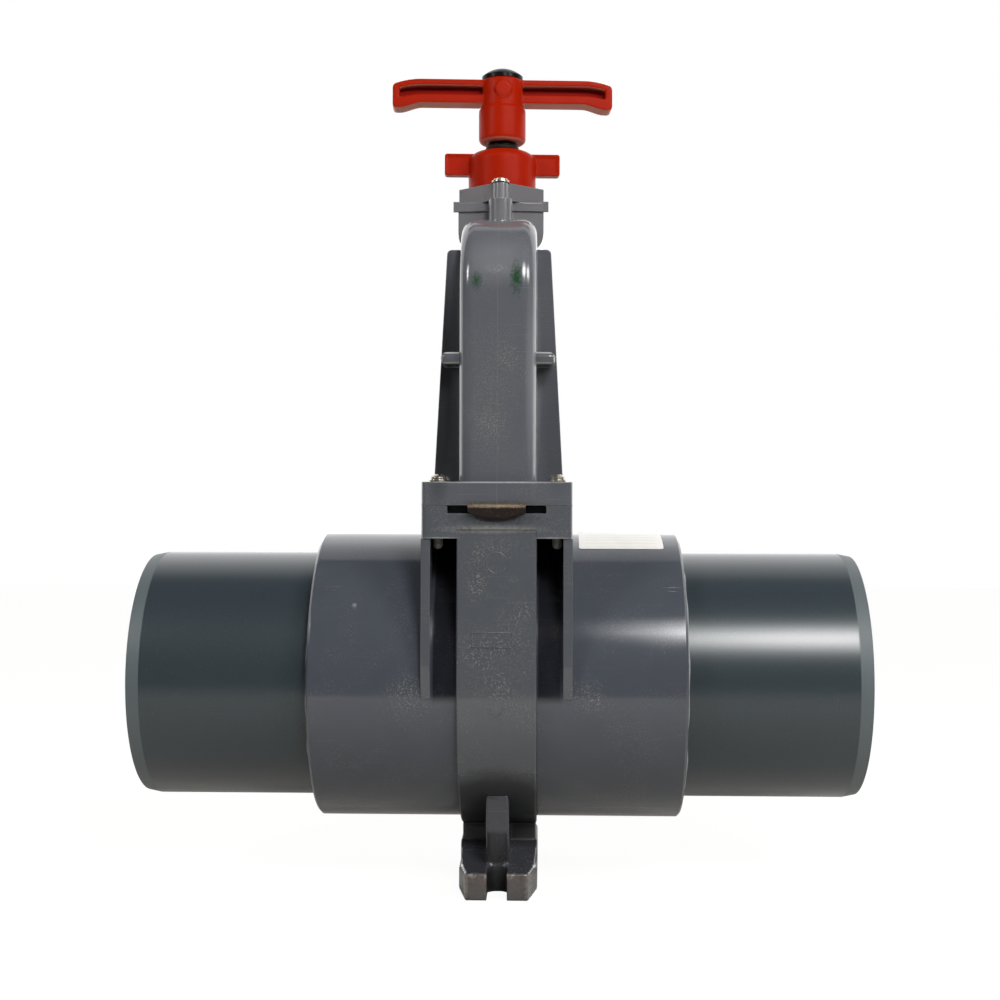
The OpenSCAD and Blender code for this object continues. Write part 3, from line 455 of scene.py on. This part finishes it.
# the heights of the marks on the foot are measured from the floor
scraped = {"base": 0.0, "grain": 2.2, "ragged": 1.2}
chalky = {"base": 0.0, "grain": 1.8, "ragged": 0.8}
footMarks = [
    # painted shade where the foot joins the housing, and in its front slot
    mark((0.0, -0.020, 0.037), (0.080, 0.030, 0.014), "#1d1e22", 0.8,
         base=0.0, grain=4.0, ragged=0.2, solid=0.7),
    mark((0.0, -0.064, 0.003), (0.0088, 0.0150, 0.0150), "#0d0a0b", 0.9,
         base=0.0, grain=3.0, ragged=0.1, solid=0.9),
    # both ends are scraped by concrete, the front one with pale and rusty grit on its edges
    mark((0.0, -0.080, 0.008), (0.030, 0.0040, 0.016), "#5d5751", 0.55, **scraped),
    mark((0.0, 0.080, 0.008), (0.030, 0.0040, 0.016), "#5d5751", 0.55, **scraped),
    mark((0.0, -0.0798, 0.0155), (0.029, 0.0034, 0.0026), "#aba59b", 0.9, base=0.0, grain=2.4, speck=2.4),
    mark((0.0, -0.0798, 0.0125), (0.027, 0.0030, 0.0030), "#8b5a4c", 0.5, base=0.0, grain=2.4, speck=2.0),
    mark((-0.0245, -0.0790, 0.008), (0.0065, 0.0110, 0.014), "#a39d94", 0.8, **chalky),
    mark((0.0245, -0.0790, 0.008), (0.0065, 0.0110, 0.014), "#a39d94", 0.7, **chalky),
]
socketMarks = [
    # scratches and scuffs from handling
    mark((0.062, -0.0925, -0.010), (0.0007, 0.01, 0.0050), "#a9a9a8", 0.6, speck=1.0),
    mark((0.057, -0.0925, -0.0085), (0.0035, 0.01, 0.0007), "#a09f9e", 0.6, speck=1.0),
    mark((-0.0885, -0.080, 0.048), (0.0016, 0.01, 0.0020), "#8a8a89", 0.55),
    # fine dust beside the webs
    mark((-0.055, -0.092, -0.008), (0.012, 0.02, 0.016), "#8f8c86", 0.3, **fineDust),
    mark((0.056, -0.092, -0.006), (0.012, 0.02, 0.012), "#8f8c86", 0.25, **fineDust),
]
# painted light: the left half of the gland plate is painted paler, to look as lit as its right half
glandPaintedLight = [mark((-0.018, -0.03, 0.3146), (0.016, 0.10, 0.030), "#928e8f", 0.3, grain=6.0, ragged=0.2)]
# painted shade in the slots of the handle's arms; pale dull ends on the flange screws, and dirt on the
# gasket's tab
handleSlotShade = [mark((side * 0.0417, 0.0, 0.3895), (0.040, 0.0058, 0.0068), "#7c0a04", 0.8,
                    ragged=0.1, solid=0.8) for side in sides]
screwMarks = [mark((0.0, 0.0, 0.078), (1.0, 1.0, 0.012), "#93928f", 1.0, grain=1.0, ragged=0.2)]
tabMarks = [mark((0.0, -0.1000, 0.1092), (0.030, 0.004, 0.0014), "#a08f79", 0.85, grain=1.2, ragged=1.2)]
# the dark seam between the flanges, and the pale parting line down the middle of the bonnet
seam = line("Z", seamHeight, 0.35, "#33353a", 0.75)
parting = line("X", 0.0, 0.4, "#7c7e81", 0.16)
# painted highlights on the rims of the lugs
lugHighlights = [line("Z", axisHeight + 0.2040, 0.8, "#e4e3de", 0.6, soft=0.7),
            line("Z", axisHeight + 0.1975, 0.8, "#e4e3de", 0.5, soft=0.7)]
lugHighlights += [line("X", side * 0.0349, 0.8, "#e4e3de", 0.75, soft=0.7) for side in sides]
# painted shade on the sockets, between the webs and the housing
pocketShadeLines = [line("X", side * 0.032, 9.0, "#0c0b12", 0.85, soft=0.3, above=axisHeight - 0.009)
              for side in sides]
# the cut chamfer at the ends of the pipe
chamferLines = [line("X", side * pipeEnd, 8.6, "#555e61", 0.85, soft=0.05, shiny=False) for side in sides]

finishes = {
    "bodyPvc": makeMouldedPvc("mouldedGreyPvc", {
        "colour": "#53565b", "cloudColour": "#4b4e53", "roughness": 0.13, "dustAmount": 0.40,
        "scratchAmount": 0.10, "marks": bodyMarks, "lines": [seam]}),
    # the bonnet's pale edges are mostly painted highlight, with some wear
    "bonnetPvc": makeMouldedPvc("mouldedGreyPvcBonnet", {
        "colour": "#5a5c61", "cloudColour": "#53555b", "roughness": 0.12, "edgeColour": "#b9bab9",
        "edgeWearAndHighlight": 0.8, "edgeRadius": 1.0, "marks": bonnetMarks, "lines": [seam, parting]}),
    # the lugs' moulding carries the painted highlights on their rims
    "lugPvc": makeMouldedPvc("mouldedLugPvc", {"roughness": 0.12, "lines": lugHighlights}),
    # the sockets are a darker, bluer moulding, turned smooth and polished by handling, with painted shade
    # between the webs and the housing
    "socketPvc": makeMouldedPvc("mouldedSocketPvc", {
        "colour": "#4a4e56", "cloudColour": "#43474e", "roughness": 0.12, "dustAmount": 0.22,
        "scratchStretch": (1.0, 30.0, 30.0), "scratchAmount": 0.05, "waveSize": 24.0,
        "marks": socketMarks, "lines": pocketShadeLines}),
    "footPvc": makeMouldedPvc("mouldedFootPvc", {
        "colour": "#3f4045", "cloudColour": "#34353a", "roughness": 0.2, "edgeWearAndHighlight": 0.6,
        "marks": footMarks}),
    # the gland plate's near-white edges are painted glints
    "glandPvc": makeMouldedPvc("mouldedGlandPvc", {
        "colour": "#706e71", "cloudColour": "#676669", "roughness": 0.2, "edgeColour": "#c9c9c6",
        "edgeWearAndHighlight": 0.7, "edgeRadius": 0.8, "marks": glandPaintedLight}),
    # pipe of the same PVC, but extruded: dark blue grey and satin, with fine lines along its
    # length; the chamfer is cut, which leaves it paler and rougher
    "pipePvc": makePlain("drawnPipePvc", {
        "colour": "#30393f", "toneColour": "#2f383d", "toneSize": 40.0, "toneStretch": (0.15, 1.0, 1.0),
        "roughness": 0.28, "roughSpread": 0.0, "specular": 0.64, "speckAmount": 0.10,
        "edgeColour": "#6c7479", "edgeWearAndHighlight": 0.5, "grainSize": 1.2, "grainStretch": (0.02, 1.0, 1.0),
        "grainStrength": 0.06, "lines": chamferLines}),
    # glass-filled nylon dyed red: even, with a wide soft shine and rubbed, darker edges; its undersides are
    # painted paler as painted light from the floor, and the slots of the arms get painted shade
    "redNylon": makePlain("mouldedRedNylon", {
        "colour": "#a41e03", "toneColour": "#981903", "toneSize": 9.0, "roughness": 0.38, "roughSpread": 0.05,
        "specular": 0.05, "speckColour": "#c4543c", "speckSize": 0.7, "speckAmount": 0.05,
        "edgeColour": "#7d1d10", "edgeWearAndHighlight": 0.55, "edgeRadius": 1.2, "grainSize": 0.6,
        "grainStrength": 0.14, "turn": 3.8, "marks": handleSlotShade, "underLightColour": "#e2a592"}),
    # acetal stem and moulded cap: black, with a narrow dull shine
    "blackAcetal": makePlain("blackAcetal", {
        "colour": "#171416", "toneColour": "#100f10", "roughness": 0.28, "specular": 0.06,
        "speckAmount": 0.06, "edgeRadius": 0.5}),
    # nitrile rubber, dull black, with brown dust on its upper edge
    "nitrileRubber": makePlain("nitrileRubber", {
        "colour": "#17110e", "toneColour": "#241b16", "toneSize": 3.0, "roughness": 0.6, "specular": 0.15,
        "speckColour": "#5b4636", "speckSize": 1.1, "speckAmount": 0.30, "edgeRadius": 0.5,
        "grainStrength": 0.3, "marks": tabMarks}),
    # stainless pan heads, dulled by weather, with a warm reflection
    "stainless": makePlain("dullStainless", {
        "colour": "#cfc8ba", "toneColour": "#a9a193", "toneSize": 2.5, "roughness": 0.32, "metallic": 1.0,
        "speckColour": "#6d5d49", "speckSize": 0.9, "speckAmount": 0.3, "edgeRadius": 0.3,
        "marks": screwMarks}),
    # solvent cement, dried clear over grey, with small bright glints
    "glue": makePlain("driedCement", {
        "colour": "#7b8083", "toneColour": "#a9aaa8", "toneSize": 4.0, "roughness": 0.08,
        "speckAmount": 0.2, "edgeRadius": 0.2}),
    "labelPaper": makeLabelPaper("coatedLabelPaper", label),
    # the gate is machined from PVC sheet: even grey with fine cutter lines
    "gatePvc": makePlain("machinedGatePvc", {
        "colour": "#6a6d70", "toneColour": "#5f6266", "toneSize": 1.6, "toneStretch": (1.0, 0.2, 1.0),
        "roughness": 0.32, "speckAmount": 0.1}),
}
nodeFinish = {
    "valve_body": "bodyPvc", "bonnet": "bonnetPvc", "mounting_foot": "footPvc", "gland_plate": "glandPvc",
    "inlet_socket": "socketPvc", "outlet_socket": "socketPvc",
}
slotFinish = {
    "body_pvc": "bodyPvc", "pipe_pvc": "pipePvc", "red_plastic": "redNylon", "black_plastic": "blackAcetal",
    "gate_pvc": "gatePvc", "seal_rubber": "nitrileRubber", "screw_steel": "stainless",
}
for part in frame["record"]["subparts"]:
    mesh = nodes[part["node"]].data
    mesh.materials.clear()
    mesh.materials.append(finishes[nodeFinish.get(part["node"], slotFinish[part["material_slot"]])])
print("materials made:", len(finishes))


def deselectAll():
    bpy.ops.object.select_all(action="DESELECT")


def selectOnly(piece):
    deselectAll()
    piece.select_set(True)
    bpy.context.view_layer.objects.active = piece


def startPiece(name):
    # names the primitive that was just added
    piece = bpy.context.object
    piece.name = piece.data.name = name
    return piece


def selectFaces(piece, wanted):
    # leaves edit mode on with the faces chosen by their centre
    bpy.ops.object.mode_set(mode="EDIT")
    bpy.ops.mesh.select_mode(type="FACE")
    bpy.ops.mesh.select_all(action="DESELECT")
    bpy.ops.object.mode_set(mode="OBJECT")
    for face in piece.data.polygons:
        face.select = wanted(piece.matrix_world @ face.center)
    bpy.ops.object.mode_set(mode="EDIT")


def applyModifiers(piece):
    for modifier in list(piece.modifiers):
        bpy.ops.object.modifier_apply(modifier=modifier.name)


def addBevel(piece, width):
    softened = piece.modifiers.new("softened", "BEVEL")
    softened.width = width
    softened.segments = 2


def addWall(piece, thickness):
    wall = piece.modifiers.new("wall", "SOLIDIFY")
    wall.thickness = thickness
    wall.offset = 1.0


def copyPiece(piece, name, matrix):
    twin = piece.copy()
    twin.data = piece.data.copy()
    twin.name = twin.data.name = name
    twin.matrix_world = matrix @ piece.matrix_world
    bpy.context.scene.collection.objects.link(twin)
    return twin


def joinPieces(several, name):
    deselectAll()
    for piece in several:
        piece.select_set(True)
    bpy.context.view_layer.objects.active = several[0]
    bpy.ops.object.join()
    several[0].name = several[0].data.name = name
    return several[0]


roundAngle = 80   # edges flatter than this are shaded smooth on a round piece, and at 30 on others


def finishPiece(piece, finish, body, smoothTo=30):
    selectOnly(piece)
    bpy.ops.object.transform_apply(location=True, rotation=True, scale=True)
    bpy.ops.object.shade_smooth_by_angle(angle=math.radians(smoothTo))
    piece.data.materials.clear()
    piece.data.materials.append(finishes[finish])
    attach(piece, body)


# The slots of the handle's arms run on until they meet the hub, in millimetres from the
# stem's and the pipe's axes.
slotEnd = {"from": 13.3, "to": 17.0, "inner": 1.2, "outer": 8.0, "bottom": 387.3, "top": 393.3}


def cutSlotEnds(handle):
    across = (slotEnd["from"], slotEnd["to"])
    deep = (slotEnd["inner"], slotEnd["outer"])
    high = (slotEnd["bottom"], slotEnd["top"])
    cutters = []
    for side in sides:
        for face in sides:
            bpy.ops.mesh.primitive_cube_add(size=1, location=(
                side * sum(across) / 2 * millimetre, face * sum(deep) / 2 * millimetre,
                axisHeight + sum(high) / 2 * millimetre))
            cutter = bpy.context.object
            cutter.scale = [(end - start) * millimetre for start, end in (across, deep, high)]
            cut = handle.modifiers.new("cut", "BOOLEAN")
            cut.operation = "DIFFERENCE"
            cut.solver = "EXACT"
            cut.object = cutter
            cutters.append(cutter)
    selectOnly(handle)
    bpy.context.view_layer.update()
    applyModifiers(handle)
    for cutter in cutters:
        bpy.data.objects.remove(cutter)


# Moulded pieces with soft edges: the solid's mesh is rebuilt in small even faces, square to
# the piece, and its corners are relaxed to the radius that the mould gives them.
softPieces = {
    # face is in millimetres, turn in degrees about the stem; the passes set how round edges get
    "t_handle": {"name": "softTHandle", "face": 0.6, "passes": 5, "turn": 3.8,
                 "finish": "redNylon", "body": "gate", "slot": "red_plastic"},
    "lock_nut": {"name": "softLockNut", "face": 0.5, "passes": 4, "turn": 3.6,
                 "finish": "redNylon", "body": "lock_nut", "slot": "red_plastic"},
    "mounting_foot": {"name": "softFoot", "face": 0.9, "passes": 3, "turn": 0.0,
                      "finish": "footPvc", "body": "valve", "slot": "body_pvc"},
}
for nodeName, soft in softPieces.items():
    piece = bpy.data.objects.new(soft["name"], nodes[nodeName].data.copy())
    piece.data.name = soft["name"]
    bpy.context.scene.collection.objects.link(piece)
    selectOnly(piece)
    piece.data.transform(Matrix.Rotation(-math.radians(soft["turn"]), 4, "Z"))
    bpy.ops.object.mode_set(mode="EDIT")
    bpy.ops.mesh.select_all(action="SELECT")
    bpy.ops.mesh.remove_doubles(threshold=0.000001)
    bpy.ops.object.mode_set(mode="OBJECT")
    if nodeName == "t_handle":
        cutSlotEnds(piece)
    rebuilt = piece.modifiers.new("rebuilt", "REMESH")
    rebuilt.mode = "VOXEL"
    rebuilt.voxel_size = soft["face"] * millimetre
    relaxed = piece.modifiers.new("relaxed", "SMOOTH")
    relaxed.factor = 0.5
    relaxed.iterations = soft["passes"]
    applyModifiers(piece)
    piece.data.transform(Matrix.Rotation(math.radians(soft["turn"]), 4, "Z"))
    finishPiece(piece, soft["finish"], soft["body"], roundAngle)
    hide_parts(nodeName)
print("soft moulded pieces ready")


# The label is a strip of a cylinder: the rest is cut away, its corners are rounded, and the
# paper gets its thickness.
def labelAngle(place):
    # how far ahead of the top a place on the label lies
    return math.atan2(-place.y, place.z - axisHeight)


def offLabel(centre):
    return not -label["back"] < math.degrees(labelAngle(centre)) < label["front"]


deselectAll()
bpy.ops.mesh.primitive_cylinder_add(
    vertices=label["sides"], radius=labelRadius, depth=label["right"] - label["left"],
    end_fill_type="NOTHING", location=((label["left"] + label["right"]) / 2, 0, axisHeight),
    rotation=(0, math.radians(90), 0))
socketLabel = startPiece("socketLabel")
# one edge of the flat strips falls on the label's front edge
socketLabel.data.transform(Matrix.Rotation(math.radians(label["front"]), 4, "Z"))
bpy.context.view_layer.update()
selectFaces(socketLabel, offLabel)
bpy.ops.mesh.delete(type="FACE")
bpy.ops.mesh.select_mode(type="VERT")
bpy.ops.mesh.select_all(action="DESELECT")
bpy.ops.object.mode_set(mode="OBJECT")
corners = socketLabel.data.vertices
angles = [labelAngle(socketLabel.matrix_world @ vertex.co) for vertex in corners]
nearby = 0.001   # radians
for vertex, angle in zip(corners, angles):
    vertex.select = angle > max(angles) - nearby or angle < min(angles) + nearby
bpy.ops.object.mode_set(mode="EDIT")
bpy.ops.mesh.bevel(affect="VERTICES", offset=label["corner"], segments=4)
bpy.ops.object.mode_set(mode="OBJECT")
addWall(socketLabel, label["thickness"])
applyModifiers(socketLabel)
finishPiece(socketLabel, "labelPaper", "valve")
print("label ready")

# Marks that the mould leaves: an ejector ring, a plain raised frame and a ring of dots on the
# strip, and short double ridges on the sockets.
moulded = 0.0001                  # how far the marks on the strip stand off its face
ejectorRing = {"height": axisHeight + 0.0748, "radius": 0.0063, "line": 0.00045}
deselectAll()
bpy.ops.mesh.primitive_torus_add(
    major_radius=ejectorRing["radius"], minor_radius=ejectorRing["line"], major_segments=72,
    minor_segments=10, location=(0, stripFace + moulded, ejectorRing["height"]),
    rotation=(math.radians(90), 0, 0))
finishPiece(startPiece("ejectorRing"), "bodyPvc", "valve", roundAngle)

frameMark = {"left": -0.0150, "right": 0.0098, "bottom": 0.1560, "top": 0.1657, "line": 0.0007,
             "height": 0.0004, "edge": 0.00012}
deselectAll()
bpy.ops.mesh.primitive_plane_add(size=1, rotation=(math.radians(90), 0, 0), location=(
    (frameMark["left"] + frameMark["right"]) / 2, stripFace + moulded,
    (frameMark["bottom"] + frameMark["top"]) / 2))
raisedFrame = startPiece("raisedFrame")
raisedFrame.scale = (frameMark["right"] - frameMark["left"], frameMark["top"] - frameMark["bottom"], 1)
bpy.ops.object.transform_apply(location=False, rotation=False, scale=True)
bpy.ops.object.mode_set(mode="EDIT")
bpy.ops.mesh.select_all(action="SELECT")
bpy.ops.mesh.inset(thickness=frameMark["line"])
bpy.ops.mesh.delete(type="FACE")
bpy.ops.object.mode_set(mode="OBJECT")
addWall(raisedFrame, frameMark["height"])
addBevel(raisedFrame, frameMark["edge"])
applyModifiers(raisedFrame)
finishPiece(raisedFrame, "bodyPvc", "valve")

dotRing = {"height": -0.0137, "radius": 0.0038, "dots": 10, "dot": 0.00055, "flat": 0.6}
# below the pipe's axis the housing is round, about that axis
dotFace = -math.sqrt(stripFace ** 2 - dotRing["height"] ** 2)
dotHeight = axisHeight + dotRing["height"]
deselectAll()
bpy.ops.mesh.primitive_uv_sphere_add(segments=14, ring_count=8, radius=dotRing["dot"],
                                     location=(dotRing["radius"], dotFace, dotHeight))
firstDot = startPiece("dotRing")
firstDot.scale = (1, dotRing["flat"], 1)
bpy.context.view_layer.update()
ringMiddle = Matrix.Translation((0, dotFace, dotHeight))
dots = [firstDot]
for count in range(1, dotRing["dots"]):
    step = Matrix.Rotation(count * 2 * math.pi / dotRing["dots"], 4, "Y")
    dots.append(copyPiece(firstDot, "dot" + str(count), ringMiddle @ step @ ringMiddle.inverted()))
finishPiece(joinPieces(dots, "dotRing"), "bodyPvc", "valve", roundAngle)

# lift, gap and radius are in millimetres; the lower ridge of each pair is shorter
ridge = {"from": 0.0980, "to": 0.1140, "lift": 59.4, "gap": 2.2, "radius": 93.25, "height": 0.00035,
         "width": 0.0006, "edge": 0.0002, "lowerLength": 0.65}
ridges = []
for lift, share in ((ridge["lift"], 1.0), (ridge["lift"] - ridge["gap"], ridge["lowerLength"])):
    for side in sides:
        slope = math.asin(lift / ridge["radius"])
        deselectAll()
        bpy.ops.mesh.primitive_cube_add(size=1, rotation=(slope, 0, 0), location=(
            side * (ridge["to"] + ridge["from"]) / 2, -ridge["radius"] * millimetre * math.cos(slope),
            axisHeight + lift * millimetre))
        bar = startPiece("ridge" + str(len(ridges)))
        bar.scale = ((ridge["to"] - ridge["from"]) * share, 2 * ridge["height"], ridge["width"])
        bpy.ops.object.transform_apply(location=False, rotation=False, scale=True)
        addBevel(bar, ridge["edge"])
        applyModifiers(bar)
        ridges.append(bar)
finishPiece(joinPieces(ridges, "socketRidges"), "socketPvc", "valve")

# The level rib round the bonnet ends in four rounded lugs: one is a dome on a short bar, and
# half turns about the bonnet's middle make the others.
lug = {"centre": (0.0316, -0.0828, axisHeight + 0.2008), "radius": 0.00372, "deep": 0.75, "length": 0.012}
deselectAll()
bpy.ops.mesh.primitive_uv_sphere_add(segments=32, ring_count=16, radius=lug["radius"], location=lug["centre"],
                                     rotation=(0, math.radians(90), 0))
frontLug = startPiece("ribLugs")
bpy.ops.object.transform_apply(location=False, rotation=True, scale=False)
frontLug.scale = (1, lug["deep"], 1)
bpy.ops.object.mode_set(mode="EDIT")
bpy.ops.mesh.select_all(action="SELECT")
bpy.ops.mesh.bisect(plane_co=lug["centre"], plane_no=(1, 0, 0), clear_inner=True)
bpy.ops.mesh.extrude_edges_move(TRANSFORM_OT_translate={"value": (-lug["length"], 0, 0)})
bpy.ops.object.mode_set(mode="OBJECT")
bpy.context.view_layer.update()
lugHeight = Matrix.Translation((0, 0, lug["centre"][2]))
lugs = [frontLug]
for axis in "XYZ":
    halfTurn = Matrix.Rotation(math.pi, 4, axis)
    lugs.append(copyPiece(frontLug, "lug" + axis, lugHeight @ halfTurn @ lugHeight.inverted()))
finishPiece(joinPieces(lugs, "ribLugs"), "lugPvc", "valve", roundAngle)

# Bead of glue squeezed out where each stub enters its socket, thicker and thinner by waves.
glueBead = {"reach": 0.1166, "radius": 0.0812, "thick": 0.0016, "uneven": 0.15, "waves": 7, "seed": 11}
draw = random.Random(glueBead["seed"])
# each wave's turns round the bead, where it starts in radians, and its size
waves = [(draw.randint(2, 17), draw.uniform(0, 6.28), draw.uniform(0.3, 1.0))
         for count in range(glueBead["waves"])]
deselectAll()
bpy.ops.mesh.primitive_torus_add(
    major_radius=glueBead["radius"], minor_radius=glueBead["thick"], major_segments=192, minor_segments=10,
    location=(glueBead["reach"], 0, axisHeight), rotation=(0, math.radians(90), 0))
bead = startPiece("outletGlueBead")
for vertex in bead.data.vertices:
    around = math.atan2(vertex.co.y, vertex.co.x)
    swell = sum(size * math.sin(turns * around + start) for turns, start, size in waves)
    factor = 1 + glueBead["uneven"] * swell
    fromAxis = math.hypot(vertex.co.x, vertex.co.y)
    outward = (glueBead["radius"] + (fromAxis - glueBead["radius"]) * factor) / fromAxis
    vertex.co = Vector((vertex.co.x * outward, vertex.co.y * outward, vertex.co.z * factor))
bpy.context.view_layer.update()
twin = copyPiece(bead, "inletGlueBead", Matrix.Rotation(math.pi, 4, "Z"))
for piece in (bead, twin):
    finishPiece(piece, "glue", "valve", roundAngle)
print("mould marks and glue beads ready")

studio = {
    "floorSize": 12.0,
    "floorColour": "#cbc7c0",
    "floorSeenTo": -0.6,      # the pale floor reaches this far in front, in reflections,
    "floorEdge": 0.02,        # over an edge of twice this width,
    "nearColour": "#303030",  # and is dark beyond it
    "floorGlow": 1.1,         # the camera sees a white floor of this brightness,
    "glowShare": 0.86,        # and the rest of what it sees is the lit floor with its shadow
    "backdropLight": 1.0,     # what the camera sees behind
    "rearLean": 0.3057,       # the white backdrop hangs forward to 17 degrees behind the zenith
    "sideReach": -0.12,       # and ends 7 degrees behind the sides,
    "sideEdge": 0.02,
    "horizonLight": 2.6,      # its brightness at the foot,
    "middleLight": 1.55,      # from 20 to 44 degrees of height
    "middleSpan": (0.35, 0.70),   # sines of those
    "highLight": 0.50,        # and overhead
    "frontLight": 0.03,
}
white = [1, 1, 1, 1]

deselectAll()
bpy.ops.mesh.primitive_plane_add(size=studio["floorSize"], location=(0, 0, 0))
floor = bpy.context.object
floor.name = "floor"
floorPaint, tree = startMaterial("paleFloorPaint")
seen = addNode(tree, "LightPath").outputs["Is Camera Ray"]
place = addNode(tree, "TexCoord").outputs["Object"]
split = addNode(tree, "SeparateXYZ", {}, {0: place})
farther = addNode(tree, "MapRange", {"From Min": studio["floorSeenTo"] - studio["floorEdge"],
                  "From Max": studio["floorSeenTo"] + studio["floorEdge"]}, {"Value": split.outputs["Y"]})
paint = addNode(tree, "Mix", {"data_type": "RGBA", 6: linearColour(studio["nearColour"]),
                7: linearColour(studio["floorColour"])}, {0: farther})
matt = addNode(tree, "BsdfDiffuse", {}, {"Color": paint.outputs[2]})
glow = addNode(tree, "Emission", {"Color": white, "Strength": studio["floorGlow"]})
share = addNode(tree, "Math", {"operation": "MULTIPLY", 1: studio["glowShare"]}, {0: seen})
shown = addNode(tree, "MixShader", {}, {0: share, 1: matt, 2: glow})
addNode(tree, "OutputMaterial", {}, {"Surface": shown})
floor.data.materials.append(floorPaint)

# The world is a white backdrop that hangs behind and over the valve, and is dark in front.
world = bpy.data.worlds.new("studio")
bpy.context.scene.world = world
world.use_nodes = True
tree = world.node_tree
tree.nodes.clear()
direction = addNode(tree, "TexCoord").outputs["Generated"]
split = addNode(tree, "SeparateXYZ", {}, {0: direction})
upward = addNode(tree, "Math", {"operation": "MAXIMUM", 1: 0.0}, {0: split.outputs["Z"]})
sideways = addNode(tree, "Math", {"operation": "ABSOLUTE"}, {0: split.outputs["X"]})
around = addNode(tree, "Math", {"operation": "MULTIPLY_ADD", 1: studio["sideReach"]},
                 {0: sideways, 2: split.outputs["Y"]})
behind = addNode(tree, "Math", {"operation": "MULTIPLY_ADD", 1: -studio["rearLean"]},
                 {0: upward, 2: around})
middleFrom, middleTo = studio["middleSpan"]
high = addNode(tree, "MapRange",
               {"From Min": middleTo, "From Max": 1.0, "To Min": studio["middleLight"],
                "To Max": studio["highLight"]}, {"Value": split.outputs["Z"]})
backLight = addNode(tree, "MapRange",
                    {"From Min": 0.0, "From Max": middleFrom, "To Min": studio["horizonLight"]},
                    {"Value": split.outputs["Z"], "To Max": high})
level = addNode(tree, "MapRange",
                {"From Min": -studio["sideEdge"], "From Max": studio["sideEdge"],
                 "To Min": studio["frontLight"]}, {"Value": behind, "To Max": backLight})
light = addNode(tree, "Background", {"Color": white}, {"Strength": level})
backdrop = addNode(tree, "Background", {"Color": white, "Strength": studio["backdropLight"]})
seen = addNode(tree, "LightPath").outputs["Is Camera Ray"]
mixed = addNode(tree, "MixShader", {}, {0: seen, 1: light, 2: backdrop})
addNode(tree, "OutputWorld", {}, {"Surface": mixed})

lamps = {
    # turn is in degrees round from the front, rise in degrees up; light is the lamp's own
    # brightness at its middle; fades are shares of its size, at left, right, and top and bottom
    "rightSoftbox": {"turn": 48, "rise": 28, "distance": 1.55, "size": (0.75, 0.60), "light": 15.0,
                     "fades": (0.3, 0.3, 0.3)},
    "leftSoftbox": {"turn": -52, "rise": 28, "distance": 1.9, "size": (0.50, 0.80), "light": 19.0,
                    "fades": (0.3, 0.3, 0.3)},
    "frontSoftbox": {"turn": 15.8, "rise": 32.5, "distance": 1.95, "size": (0.72, 1.06), "light": 35.0,
                     "fades": (0.48, 0.1, 0.5)},
}
aim = Vector((0, 0, 0.27))    # about half way up the valve


def addLamp(name, look):
    # an area lamp of that brightness gives four watts for each unit of brightness and square
    # metre; its own surface coordinates fade it towards its edges
    data = bpy.data.lights.new(name, "AREA")
    data.shape = "RECTANGLE"
    width, height = look["size"]
    data.size, data.size_y = width, height
    data.energy = 4 * look["light"] * width * height
    data.use_nodes = True
    tree = data.node_tree
    tree.nodes.clear()
    across = addNode(tree, "NewGeometry").outputs["Parametric"]
    split = addNode(tree, "SeparateXYZ", {}, {0: across})
    leftFade, rightFade, endFade = look["fades"]
    level = None
    for source, start, fade in (("X", 0.0, leftFade), ("X", 1.0, rightFade),
                                ("Y", 0.0, endFade), ("Y", 1.0, endFade)):
        edge = addNode(tree, "MapRange", {"From Min": start, "From Max": abs(start - fade)},
                       {"Value": split.outputs[source]})
        edge = addNode(tree, "Math", {"operation": "MULTIPLY"}, {0: edge, 1: edge})
        if level is not None:
            edge = addNode(tree, "Math", {"operation": "MULTIPLY"}, {0: level, 1: edge})
        level = edge
    glow = addNode(tree, "Emission", {"Color": white}, {"Strength": level})
    addNode(tree, "OutputLight", {}, {"Surface": glow})
    lamp = bpy.data.objects.new(name, data)
    bpy.context.scene.collection.objects.link(lamp)
    turn, rise = math.radians(look["turn"]), math.radians(look["rise"])
    away = Vector((math.sin(turn) * math.cos(rise), -math.cos(turn) * math.cos(rise), math.sin(rise)))
    lamp.location = aim + away * look["distance"]
    lamp.rotation_euler = (-away).to_track_quat("-Z", "Y").to_euler()


for name, look in lamps.items():
    addLamp(name, look)

view = {
    "place": (0.0275, -0.9925, axisHeight + 0.0894),
    "turn": 1.635,            # degrees to the left,
    "rise": 1.50,             # up,
    "roll": -0.164,           # and clockwise
    "lens": 53.29,            # mm, before a sensor of this width
    "sensor": 36.0,
}
cameraData = bpy.data.cameras.new("camera")
cameraData.lens = view["lens"]
cameraData.sensor_width = view["sensor"]
camera = bpy.data.objects.new("camera", cameraData)
bpy.context.scene.collection.objects.link(camera)
turn = Matrix.Rotation(math.radians(view["turn"]), 4, "Z")
rise = Matrix.Rotation(math.radians(90 + view["rise"]), 4, "X")
roll = Matrix.Rotation(-math.radians(view["roll"]), 4, "Z")
camera.matrix_world = Matrix.Translation(view["place"]) @ turn @ rise @ roll
bpy.context.scene.camera = camera
bpy.context.scene.view_settings.view_transform = "Standard"
print("studio ready")
